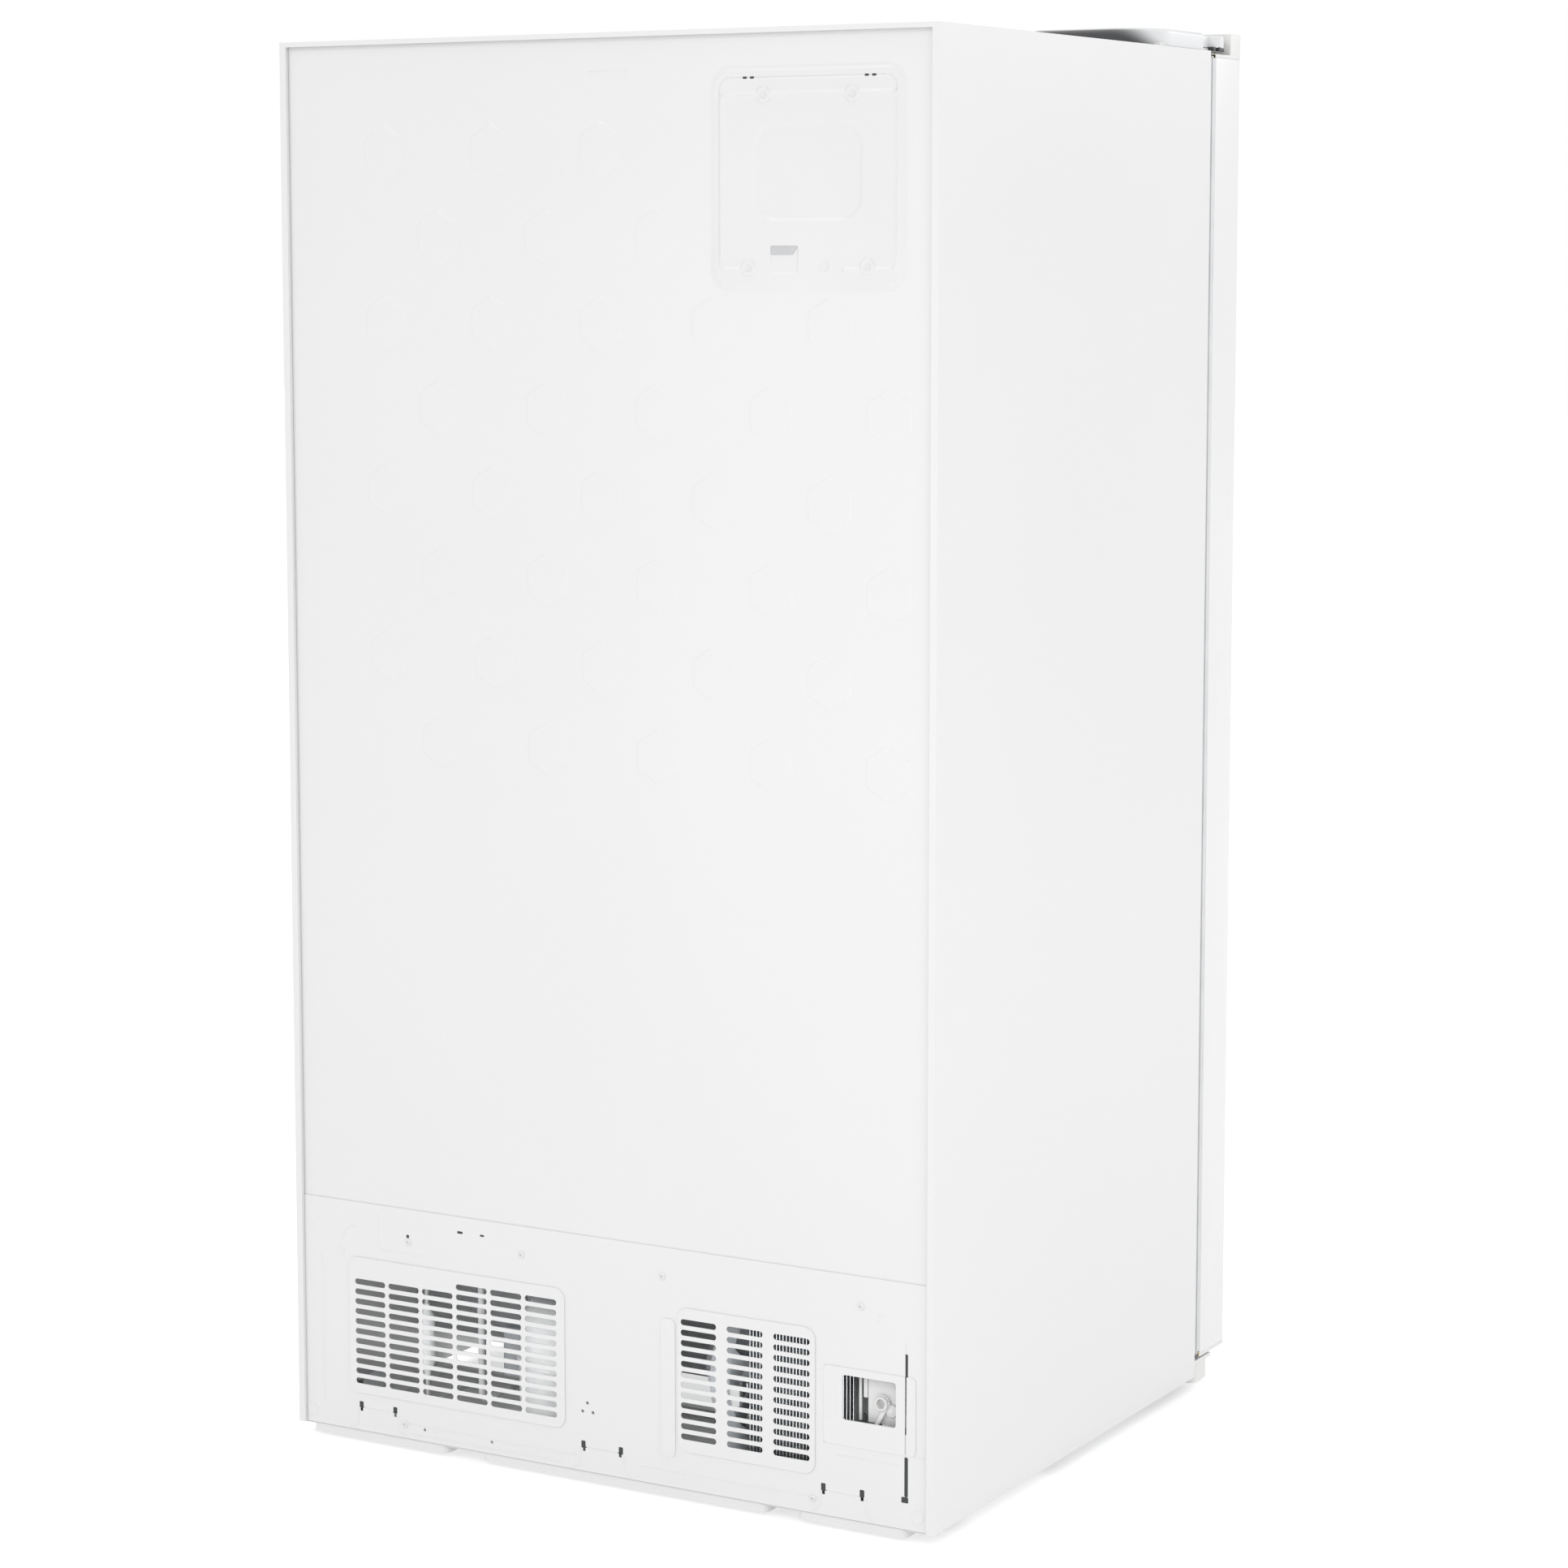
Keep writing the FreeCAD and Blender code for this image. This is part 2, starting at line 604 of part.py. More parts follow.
def make_machine_fan():
    """Fan between condenser and compressor: shroud wall, motor on spokes, and the rotor."""
    centre = (0, rear - 132, 140)
    wall_x = -150
    hole = d.fan_radius + d.fan_tip_gap
    wall = block((wall_x, wall_x + 3), (rear - 225, rear - 45), (case_low, 262))
    opening = rod("x", (wall_x - 1, centre[1], centre[2]), 5, hole)
    lip = ring("x", centre, as_size(wall_x), as_size(26), hole + 3, hole, "lip")
    spoke_x = wall_x + 26
    spokes = []
    for half_length in (1, -1):
        y = (centre[1], centre[1] + hole + 2) if half_length > 0 else (centre[1] - hole - 2, centre[1])
        spokes.append(block((spoke_x - 1, spoke_x + 3), y, (centre[2] - 5, centre[2] + 5), "spoke"))
    spokes.append(block((spoke_x - 1, spoke_x + 3), (centre[1] - 5, centre[1] + 5),
                        (centre[2] - 1 * (hole + 2), centre[2]), "spoke"))
    seat = rod("x", (spoke_x - 1, centre[1], centre[2]), 4, 16)
    bore = rod("x", (spoke_x - 5, centre[1], centre[2]), 12, 5)
    shroud = cut(fuse([cut(wall, [opening]), lip, seat] + spokes, "shroud"), [bore], "fan_shroud")
    keep("fan_shroud", shroud)
    body = rod("x", (spoke_x + 3, centre[1], centre[2]), 34, d.motor_radius, "motor")
    shaft = rod("x", (wall_x + 2, centre[1], centre[2]), 26 + 6, d.shaft_radius, "shaft")
    keep("fan_motor", fuse([body, shaft], "motor"))
    rotor("condenser_fan", Vector(1, 0, 0), (wall_x + 3, centre[1], centre[2]), d.fan_depth, 17,
          d.fan_radius, 5, 28)


def make_machine_details():
    """Drain pan, drier, refrigerant lines, water valve and the rear screws."""
    outer = block((-330, -164), (rear - 222, rear - 50), (18, 40))
    room = block((-327.5, -166.5), (rear - 219.5, rear - 52.5), (20.5, 45))
    keep("drain_pan", cut(outer, [room], "drain_pan"))

    y = rear - 62
    drier_body = rod("z", (300, y, 90), 75, 10)
    tips = [rod("z", (300, y, 80), 95, 4)]
    keep("filter_drier", fuse([drier_body] + tips, "filter_drier"))

    deck_under = machine_top - d.deck_wall
    suction = tube([(85, rear - 100, 210), (85, rear - 100, 275), (217, rear - 62, 275), (217, rear - 62, 60),
                    (217, rear - 160, 60), (217, rear - 160, deck_under)], 4.0, 14)
    liquid = tube([(300, y, 175), (300, y, 250), (340, y - 60, 250), (340, y - 60, deck_under)], 2.5, 12)
    feed = tube([(300, y, 80), (300, y, 45), (300, rear - 190, 45), (300, rear - 190, deck_under)], 2.5, 12)
    keep("refrigerant_tubes", feature(Part.makeCompound([suction, liquid, feed]), "refrigerant_tubes"))

    x, level = d.inlet_x, d.inlet_level
    body = rounded("y", (x - 20, x + 20), (rear - 74, rear - 44), (level - 20, level + 16), 5, "valve_body")
    coil = rod("z", (x, rear - 60, level + 15), 30, 13)
    inlet = rod("y", (x, rear - 45, level), 37, d.inlet_radius, "inlet")
    bracket = block((x - 28, x + 34), (rear - 77, rear - 74), (level - 60, level + 40))
    outlet = rod("z", (x + 8, rear - 60, level - 42), 24, 4)
    bore = rod("y", (x, rear - 26, level), 22, d.inlet_radius - 4)
    keep("water_valve", cut(fuse([body, coil, inlet, bracket, outlet], "valve"), [bore], "valve"))

    face = rear - d.cover_inset
    screws = []
    for screw_x, screw_z in ((294, 34), (-294, 34), (117, 275), (-86, 275), (-358, 275), (286, 269)):
        screws.append(rod("y", (screw_x, face, screw_z), 2.4, 4.5, "screw"))
    keep("rear_screws", group(screws, "screws"))


def make_running_gear():
    """Four rollers on axles in forks, and two levelling legs through the front forks."""
    brackets = []
    for side, sign in SIDES:
        centre_x = (half - d.roller_inset) * sign
        for place, y in (("front", front + d.roller_setback), ("rear", rear - 82)):
            top = d.deck_level if place == "front" else d.deck_level - 8
            cheeks = []
            for edge in (-1, 1):
                offset = (d.roller_width / 2 + 1 + 1.25) * edge
                x = centre_x + offset
                cheeks.append(block((x - 1.25, x + 1.25), (y - 14, y + 14), (14, top), "cheek"))
            axle = rod("x", (centre_x - d.roller_width / 2 - 3.5, y, d.roller_radius), d.roller_width + 7,
                       d.axle_radius, "axle")
            cap = block((centre_x - d.roller_width / 2 - 3.5, centre_x + d.roller_width / 2 + 3.5),
                        (y - 26, y + 26), (top - 3, top), "cap")
            pieces = cheeks + [axle, cap]
            if place == "front":
                leg_y = front + d.leg_setback
                boss = block((centre_x - 14, centre_x + 14), (leg_y - 14, y - 20), (top - 14, top))
                thread = rod("z", (centre_x, leg_y, top - 20), 30, d.leg_radius + d.pin_clearance)
                brackets.append(cut(fuse(pieces + [boss], "fork"), [thread], "fork"))
                stem = rod("z", (centre_x, leg_y, 6), top - 8, d.leg_radius, "stem")
                pad = rod("z", (centre_x, leg_y, 0), 8, d.leg_pad, "pad")
                nut = doc.addObject("Part::Prism", "nut")
                nut.Polygon = 6
                nut.Placement = FreeCAD.Placement()
                bind(nut, (centre_x, leg_y, 14), Circumradius=as_size(11), Height=as_size(8))
                keep(f"levelling_leg_{side}", fuse([stem, pad, nut], "leg"))
            else:
                post = block((centre_x - d.roller_width / 2 - 3.5, centre_x - d.roller_width / 2 - 1),
                             (y - 40, y - 14), (case_low, top))
                brackets.append(fuse(pieces + [post], "fork"))
            bore = rod("x", (centre_x - d.roller_width, y, d.roller_radius), d.roller_width * 2,
                       d.axle_radius + d.pin_clearance)
            tyre = rod("x", (centre_x - d.roller_width / 2, y, d.roller_radius), d.roller_width, d.roller_radius)
            grooves = [ring("x", (0, y, d.roller_radius), centre_x + start, as_size(4), d.roller_radius - 4,
                            d.roller_radius - 12, "groove")
                       for start in (-d.roller_width / 2, d.roller_width / 2 - 4)]
            keep(f"{place}_roller_{side}", cut(tyre, [bore] + grooves, "roller"))
    keep("roller_brackets", group(brackets, "forks"))


def make_toe_grille():
    """Slotted kick plate under the doors."""
    edge = half - 14
    plate = block((-edge, edge), (front + 2, front + 6), (9, d.deck_level - 3))
    windows = []
    for level in (20, 32, 44):
        for column in range(10):
            x = -368 + 75 * column
            windows.append(block((x, x + 60), (front, front + 10), (level, level + 6)))
    keep("toe_grille", cut(plate, [group(windows, "windows")], "toe"))


# ---------------------------------------------------------------- hinges


def make_hinges():
    """Upper and lower hinge plates with their pins, and a moulded cover over each upper plate."""
    brackets = []
    for side, sign in SIDES:
        axis_x = pivot_x * sign
        outer = half - 4
        level = case_top
        plate = block(mirrored(sign, half - 150, outer), (front + 24, front + 150), (level, level + d.hinge_plate))
        arm = block(mirrored(sign, pivot_x - 13, pivot_x + 8), (pivot_y, front + 30),
                    (level, level + d.hinge_plate))
        eye = rod("z", (axis_x, pivot_y, level), d.hinge_plate, 15)
        pin = rod("z", (axis_x, pivot_y, level - 24), 24 + d.hinge_plate, d.pin_radius)
        brackets.append(fuse([plate, arm, eye, pin], "upper_hinge"))

        base = d.door_floor - 8.5
        foot = block(mirrored(sign, half - 110, half - 2), (door_back - 44, front), (base, base + 5))
        back_plate = block(mirrored(sign, half - 110, half - 2), (front - 3, front), (base, d.deck_level - 4))
        lower_pin = rod("z", (axis_x, pivot_y, base), 32, d.pin_radius)
        skirt = rounded("z", mirrored(sign, half - 96, half - 4), (door_back - 42, front - 4),
                        (4, base + 2), 12, "skirt")
        brackets.append(fuse([foot, back_plate, lower_pin, skirt], "lower_hinge"))

        cover_back = front + 19 + d.hinge_cover_depth
        wall = d.cover_wall
        high = level + d.hinge_cover_height
        shell = rounded("z", mirrored(sign, half - 2 - d.hinge_cover_width, half - 2), (front + 19, cover_back),
                        (level, high), 26, "cover")
        square = block(mirrored(sign, half - 2 - d.hinge_cover_width, half - 2), (front + 19, front + 60),
                       (level, high))
        room = block(mirrored(sign, half - 152, half - 3), (front + 19 - 5, cover_back - 8),
                     (level - 1, high - wall))
        nose = rod("z", (axis_x, pivot_y, level + 4.5), 16, d.nose_radius, "nose")
        neck = block(mirrored(sign, pivot_x - 13, pivot_x + 7), (pivot_y, front + 24), (level + 4.5, level + 20.5))
        nose_room = rod("z", (axis_x, pivot_y, level), 18, d.nose_radius - wall)
        neck_room = block(mirrored(sign, pivot_x - 11, pivot_x + 5), (pivot_y, front + 26), (level, level + 18))
        solid = fuse([shell, square, nose, neck], "cover")
        keep(f"hinge_cover_{side}", cut(solid, [room, nose_room, neck_room], "cover"))
    keep("door_hinges", group(brackets, "hinges"))


# ---------------------------------------------------------------- doors


class Door:
    """One door: its outer edges, its side of the case and the hollow that it closes."""

    def __init__(self, name, x, sign, cavity):
        self.name = name
        self.x = x
        self.sign = sign
        self.cavity = cavity
        self.axis_x = pivot_x * sign

    def dyke_x(self):
        """Outer x range of the raised ring that reaches into the compartment."""
        return (self.cavity[0] + 14, self.cavity[1] - 14)

    def bores(self):
        """Cutters for the two hinge pins."""
        radius = d.pin_radius + d.pin_clearance
        return [rod("z", (self.axis_x, pivot_y, case_top - 27), 40, radius),
                rod("z", (self.axis_x, pivot_y, d.door_floor - 5), 33, radius)]

    def filling(self, grow_back):
        """Room inside the steel skin: the main block and the raised lip."""
        wall = d.sheet_wall
        x = (self.x[0] + wall, self.x[1] - wall)
        liner_front = door_back - d.liner_flange
        main = block(x, (door_front + wall, liner_front + grow_back), (d.door_floor + wall, door_top - wall))
        lip = block(x, (door_front + wall, door_front + d.lip_depth - wall), (door_top - 5, lip_top - wall))
        return fuse([main, lip], "filling")

    def make(self, extra_skin_cuts, extra_foam_cuts):
        """Skin, foam, inner liner, gasket and handle of this door."""
        liner_front = door_back - d.liner_flange
        main = block(self.x, (door_front, liner_front), (d.door_floor, door_top))
        lip = block(self.x, (door_front, door_front + d.lip_depth), (door_top - 5, lip_top))
        skin = cut(fuse([main, lip], "skin"), [self.filling(as_size(5))] + self.bores() + extra_skin_cuts, "skin")
        keep(f"{self.name}_door_skin", skin)
        foam = cut(self.filling(as_size(0)), self.bores() + extra_foam_cuts, "foam")
        keep(f"{self.name}_door_foam", foam)

        low, high = cavity_floor + 15, cavity_top - 13
        flange = block((self.x[0] + 3, self.x[1] - 3), (liner_front, door_back), (d.door_floor + 3, door_top - 3))
        dyke = self.dyke_x()
        reach = door_back + d.dyke_depth
        wall = d.dyke_wall
        depth = (door_back, reach)
        inner = (dyke[0] + wall, dyke[1] - wall)
        bars = [block((dyke[0], inner[0]), depth, (low, high)), block((inner[1], dyke[1]), depth, (low, high)),
                block(inner, depth, (low, low + wall)), block(inner, depth, (high - wall, high))]
        keep(f"{self.name}_door_liner", group([flange] + bars, "liner"))

        gasket_low, gasket_high = d.deck_level + 6, door_top - d.gasket_inset
        x = (self.x[0] + d.gasket_inset, self.x[1] - d.gasket_inset)
        y = (door_back, door_back + d.door_gap - d.gasket_clearance)
        outer_ring = rounded("y", x, y, (gasket_low, gasket_high), 12, "seal")
        width = d.gasket_width
        inner_ring = block((x[0] + width, x[1] - width), (door_back - 5, door_back + 20),
                           (gasket_low + width, gasket_high - width))
        keep(f"{self.name}_door_gasket", cut(outer_ring, [inner_ring], "gasket"))

        free_edge = self.x[1] if self.sign < 0 else self.x[0]
        centre = free_edge + d.handle_offset * self.sign
        across = (centre - d.handle_width / 2, centre + d.handle_width / 2)
        tip = door_front - d.handle_reach
        bar_top = d.handle_low + d.handle_length
        bar = rounded("z", across, (tip, tip + d.handle_bar), (d.handle_low, bar_top), 7, "bar")
        pieces = [bar]
        for low_z in (d.handle_low + 20, bar_top - 65):
            pieces.append(rounded("y", (across[0] + 2, across[1] - 2), (tip + d.handle_bar / 2, door_front),
                                  (low_z, low_z + 45), 8, "stand_off"))
        keep(f"{self.name}_door_handle", fuse(pieces, "handle"))

    def make_bins(self, levels):
        """Open-topped bins hung between the side walls of the dyke."""
        dyke = self.dyke_x()
        x = (dyke[0] + d.dyke_wall, dyke[1] - d.dyke_wall)
        y = (door_back, door_back + d.bin_depth)
        wall = d.bin_wall
        bins = []
        for low, tall in levels:
            outside = rounded("z", x, y, (low, low + tall), 12, "bin")
            room = rounded("z", (x[0] + wall, x[1] - wall), (y[0] + wall, y[1] - wall),
                           (low + wall, low + tall + 5), 9, "bin_room")
            bins.append(cut(outside, [room], "bin"))
        keep(f"{self.name}_door_bins", group(bins, "bins"))


def make_dispenser(door):
    """Ice and water niche in the freezer door, with its paddle and its drip tray."""
    centre = (door.x[0] + door.x[1]) / 2 - 14
    low = case_top - d.niche_drop
    high = low + d.niche_height
    x = (centre - d.niche_width / 2, centre + d.niche_width / 2)
    back = door_front + d.niche_depth
    face = door_front - 2
    wall = as_size(3)
    skin_cut = block((x[0] - wall, x[1] + wall), (door_front - 5, door_front + 5), (low - wall, high + wall))
    foam_cut = block((x[0] - wall, x[1] + wall), (door_front - 5, back + wall), (low - wall, high + wall))
    frame = rounded("y", (x[0] - d.bezel, x[1] + d.bezel), (face, door_front),
                    (low - d.bezel, high + d.panel_height), 10, "bezel")
    pocket = block((x[0] - wall, x[1] + wall), (door_front - 1, back + wall), (low - wall, high + wall))
    room = block(x, (face - 5, back), (low, high))
    chute = rod("z", (centre, door_front + 34, high - 22), 22, 24, "chute")
    chute_bore = rod("z", (centre, door_front + 34, high - 30), 28, 19)
    niche = cut(fuse([cut(fuse([frame, pocket], "niche"), [room]), chute], "niche"), [chute_bore], "niche")
    keep("dispenser_housing", niche)

    hang_y = door_front + 34
    hang_z = high - 44
    plate = rounded("y", (centre - d.paddle_width / 2, centre + d.paddle_width / 2), (hang_y - 2, hang_y + 2),
                    (hang_z - 120, hang_z), 8, "paddle")
    knuckle = rod("x", (centre - d.paddle_width / 2, hang_y, hang_z), d.paddle_width, 5)
    keep("dispenser_paddle", fuse([plate, knuckle], "paddle"))

    tray = rounded("z", (x[0] + 6, x[1] - 6), (door_front + 3, back - 6), (low + 0.5, low + 14), 6, "tray")
    hollow = rounded("z", (x[0] + 9, x[1] - 9), (door_front + 6, back - 9), (low + 3, low + 20), 4, "tray_room")
    keep("drip_tray", cut(tray, [hollow], "tray"))
    return [skin_cut], [foam_cut]


# ---------------------------------------------------------------- inside the compartments


def drawer(name, x, y, z):
    """Open-topped drawer with a thicker front and a grip along its top."""
    wall = d.drawer_wall
    outside = rounded("z", x, y, z, 14, "drawer")
    room = rounded("z", (x[0] + wall, x[1] - wall), (y[0] + 8, y[1] - wall), (z[0] + wall, z[1] + 5), 10, "room")
    shell = cut(outside, [room], "drawer")
    grip = rounded("x", (x[0] + 30, x[1] - 30), (y[0] - 12, y[0] + 4), (z[1] - 22, z[1] - 6), 3, "grip")
    keep(name, cut(fuse([shell, grip], "drawer"), [room], "drawer"))


def shelf(x, level, back):
    """Glass plate in a moulded rim."""
    slack = d.side_slack
    y = (front + d.shelf_setback, back)
    rim = rounded("z", (x[0] + slack, x[1] - slack), y, (level, level + d.shelf_thick), 6, "rim")
    recess = block((x[0] + slack + 14, x[1] - slack - 14), (y[0] + 14, y[1] - 14),
                   (level + d.shelf_thick - 3, level + d.shelf_thick + 5))
    under = block((x[0] + slack + 14, x[1] - slack - 14), (y[0] + 14, y[1] - 14),
                  (level - 5, level + d.shelf_thick - 7))
    return cut(rim, [recess, under], "shelf")


# a compartment of this height has its shelves and bins at the levels written in the lists below
LISTED_HEIGHT = 1572.0
LISTED_FLOOR = 129.0
ICE_SHELF_DROP = 355


def level_at(listed):
    """Level that keeps a listed level's share of the compartment's height."""
    return cavity_floor + (cavity_top - cavity_floor) * ((listed - LISTED_FLOOR) / LISTED_HEIGHT)


FREEZER_SHELVES = [level_at(620), level_at(880), level_at(1120), cavity_top - ICE_SHELF_DROP]
FRIDGE_SHELVES = [level_at(585), level_at(830), level_at(1070), level_at(1320)]
# listed underside and height of each door bin
FREEZER_BINS = [(640, 110), (830, 110), (1555, 85)]
FRIDGE_BINS = [(640, 120), (900, 120), (1180, 120), (1470, 130)]
COVER_WALL = 3


def make_cold_inside():
    """Evaporator and its fan behind the cover, ice maker, shelves, drawers and the water filter."""
    x = freezer_x
    cover_y = cavity_back - COLD_WALL
    coil_low = step_floor + 260
    fins = []
    for index in range(15):
        fin_x = x[0] + 22 + 17.5 * index
        fins.append(block((fin_x - 0.5, fin_x + 0.5), (cover_y + 22, cavity_back - 12), (coil_low, coil_low + 240)))
    for row in range(8):
        for depth in (cover_y + 38, cavity_back - 28):
            fins.append(rod("x", (x[0] + 16, depth, coil_low + 16 + row * 29.5), 257, 4))
    keep("evaporator", fuse(fins, "evaporator"))

    fan_x = (x[0] + x[1]) / 2
    fan_z = step_floor + 620
    panel = block((x[0] + 2, x[1] - 2), (cover_y, cover_y + COVER_WALL), (step_floor + 4, cavity_top - 12))
    hole = rod("y", (fan_x, cover_y - 5, fan_z), 12, d.cold_fan_radius + 4)
    vents = []
    for row in range(5):
        for column in range(3):
            left = x[0] + 42 + column * 78
            low = step_floor + 40 + row * 22
            vents.append(block((left, left + 62), (cover_y - 3, cover_y + 8), (low, low + 9)))
    bars = [block((fan_x - d.cold_fan_radius - 6, fan_x + d.cold_fan_radius + 6), (cover_y, cover_y + COVER_WALL),
                  (fan_z + offset - 1.5, fan_z + offset + 1.5)) for offset in (-36, -18, 0, 18, 36)]
    opened = cut(panel, [hole, group(vents, "vents")], "panel")
    keep("evaporator_cover", fuse([opened] + bars, "cover"))

    motor_y = cover_y + 36
    arms = block((fan_x - 70, fan_x + 70), (motor_y, motor_y + 3), (fan_z - 8, fan_z + 8))
    posts = [rod("y", (fan_x + offset, cover_y + COVER_WALL, fan_z), 36 - COVER_WALL, 5) for offset in (-64, 64)]
    can = rod("y", (fan_x, motor_y - 2, fan_z), 26, 20)
    shaft = rod("y", (fan_x, cover_y + 12, fan_z), 26, d.shaft_radius)
    keep("evaporator_fan_motor", fuse([arms, can, shaft] + posts, "motor"))
    rotor("evaporator_fan", Vector(0, 1, 0), (fan_x, cover_y + 10, fan_z), 18, 12, d.cold_fan_radius, 5, 26)

    ice_low = cavity_top - 140
    body = rounded("y", (x[0] + 6, x[0] + 126), (front + 300, cover_y - 8), (ice_low, ice_low + 118), 10, "maker")
    mould = rounded("y", (x[0] + 126, x[1] - 30), (front + 320, cover_y - 20), (ice_low + 36, ice_low + 84), 12, "mould")
    cups = []
    for index in range(6):
        low_y = front + 332 + index * 38
        cups.append(block((x[0] + 136, x[1] - 40), (low_y, low_y + 28), (ice_low + 56, ice_low + 90)))
    keep("ice_maker", cut(fuse([body, mould], "maker"), cups, "ice_maker"))

    slack = d.side_slack
    inside_x = (x[0] + slack + 4, x[1] - slack - 4)
    start = front + d.drawer_setback
    keep("freezer_shelves", group([shelf(x, level, cover_y - 4) for level in FREEZER_SHELVES], "shelves"))
    drawer("ice_bucket", inside_x, (start, cover_y - 30), (ice_low - 200, ice_low - 12))
    drawer("freezer_drawer", inside_x, (start, step_front - 6), (cavity_floor + 3, step_floor - 12))

    x = fridge_x
    inside_x = (x[0] + slack + 4, x[1] - slack - 4)
    keep("fridge_shelves", group([shelf(x, level, cavity_back - 4) for level in FRIDGE_SHELVES], "shelves"))
    drawer("lower_crisper", inside_x, (start, step_front - 6), (cavity_floor + 3, step_floor - 12))
    drawer("upper_crisper", inside_x, (start, cavity_back - 30), (step_floor + 3, FRIDGE_SHELVES[0] - 8))

    filter_x, filter_z = x[1] - FILTER_INSET, cavity_top - d.filter_radius - 14
    filter_y = front + FILTER_START
    body = rod("y", (filter_x, filter_y, filter_z), FILTER_LENGTH, d.filter_radius)
    grip = rod("y", (filter_x, filter_y - 15, filter_z), 15, d.filter_radius - 5)
    bar = block((filter_x - 18, filter_x + 18), (filter_y - 22, filter_y - 14), (filter_z - 4, filter_z + 4))
    keep("water_filter", fuse([body, grip, bar], "filter"))


# ---------------------------------------------------------------- build, check, write

make_case()
make_rear_panel()
make_machine_cover()
make_board_bay()
make_bottom()
make_insulation()
cold_wall_face = cavity_back - COLD_WALL
make_liner("freezer_liner", freezer_x, [(level, cold_wall_face - 10) for level in FREEZER_SHELVES])
make_liner("fridge_liner", fridge_x, [(level, cavity_back) for level in FRIDGE_SHELVES])
make_compressor()
make_condenser()
make_machine_fan()
make_machine_details()
make_running_gear()
make_toe_grille()
make_hinges()
freezer_door = Door("freezer", (-half, freezer_edge), -1, freezer_x)
fridge_door = Door("fridge", (fridge_edge, half), 1, fridge_x)
freezer_door.make(*make_dispenser(freezer_door))
fridge_door.make([], [])
freezer_door.make_bins([(level_at(low), tall) for low, tall in FREEZER_BINS])
fridge_door.make_bins([(level_at(low), tall) for low, tall in FRIDGE_BINS])
make_cold_inside()

doc.recompute()

failed = [obj.Name for obj in doc.Objects if "Invalid" in obj.State or "Error" in obj.State]
if failed:
    raise RuntimeError(f"objects that did not compute: {failed}")
for node, obj in nodes.items():
    if obj.Shape.isNull() or not obj.Shape.isValid() or not obj.Shape.Solids:
        raise RuntimeError(f"{node} has no sound shape")

os.makedirs("parts", exist_ok=True)
for node, obj in nodes.items():
    obj.Shape.exportStep(os.path.join("parts", f"{node}.step"))
whole = Part.makeCompound([obj.Shape for obj in nodes.values()]).BoundBox
print(f"{len(nodes)} sub-parts, box {whole.XMin:.1f} {whole.YMin:.1f} {whole.ZMin:.1f}"
      f" to {whole.XMax:.1f} {whole.YMax:.1f} {whole.ZMax:.1f}")
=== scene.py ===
"""Looks of a side-by-side refrigerator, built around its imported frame.

The doors face -Y, the pressed back faces +Y, the freezer is on the -X side and Z is up. Shapes are
worked out in millimetres and turned to metres when a piece is made.
"""
import json
import logging
import math
from dataclasses import dataclass
from enum import Enum

import bpy
import numpy as np
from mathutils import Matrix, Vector


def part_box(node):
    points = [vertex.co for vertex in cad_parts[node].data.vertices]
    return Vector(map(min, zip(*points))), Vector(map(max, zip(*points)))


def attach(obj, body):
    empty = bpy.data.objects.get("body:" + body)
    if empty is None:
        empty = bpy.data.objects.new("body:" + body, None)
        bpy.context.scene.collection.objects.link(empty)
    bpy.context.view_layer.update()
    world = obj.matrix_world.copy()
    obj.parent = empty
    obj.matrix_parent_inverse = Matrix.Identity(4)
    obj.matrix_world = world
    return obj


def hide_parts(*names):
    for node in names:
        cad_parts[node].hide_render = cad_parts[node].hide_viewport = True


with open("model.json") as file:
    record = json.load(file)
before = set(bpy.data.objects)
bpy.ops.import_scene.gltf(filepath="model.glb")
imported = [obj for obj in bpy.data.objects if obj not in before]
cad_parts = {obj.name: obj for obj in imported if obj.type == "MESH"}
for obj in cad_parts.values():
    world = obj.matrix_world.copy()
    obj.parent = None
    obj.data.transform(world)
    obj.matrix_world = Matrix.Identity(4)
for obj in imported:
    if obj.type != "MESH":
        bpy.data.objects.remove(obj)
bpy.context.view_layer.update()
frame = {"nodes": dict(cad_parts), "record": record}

log = logging.getLogger("refrigerator")

Array = np.ndarray
Range = tuple[float, float]

MM = 0.001
QUARTER = math.pi / 2
TINY = 0.02


# ---------------------------------------------------------------- surfaces


class Facing(Enum):
    """Which two axes an outline lies in, and the axis of its thickness."""

    UP = (0, 1, 2)
    BACK = (0, 2, 1)
    SIDE = (1, 2, 0)


class Surface:
    """Closed shells of one piece, in millimetres, gathered before the mesh is made."""

    def __init__(self) -> None:
        """Start with no shell."""
        self.points: list[Array] = []
        self.faces: list[Array] = []
        self.count = 0

    def add(self, points: Array, *faces: Array) -> "Surface":
        """Add one closed shell, turned so that its faces point outwards.

        The enclosed volume is the sum of the fans' tetrahedra about the origin. Where it comes
        out negative, every face is reversed.

        Args:
            points: Corner places, one row each.
            faces: Index tables, one row for each face.

        Returns:
            The surface, so that calls can be chained.
        """
        points = points.reshape(-1, 3)
        local = points - points.mean(0)
        volume = 0.0
        for table in faces:
            first = local[table[:, 0]]
            for step in range(1, table.shape[1] - 1):
                spin = np.cross(local[table[:, step]], local[table[:, step + 1]])
                volume += float((first * spin).sum())
        if volume < 0:
            faces = tuple(table[:, ::-1] for table in faces)
        self.points.append(points)
        self.faces += [table + self.count for table in faces]
        self.count += len(points)
        return self


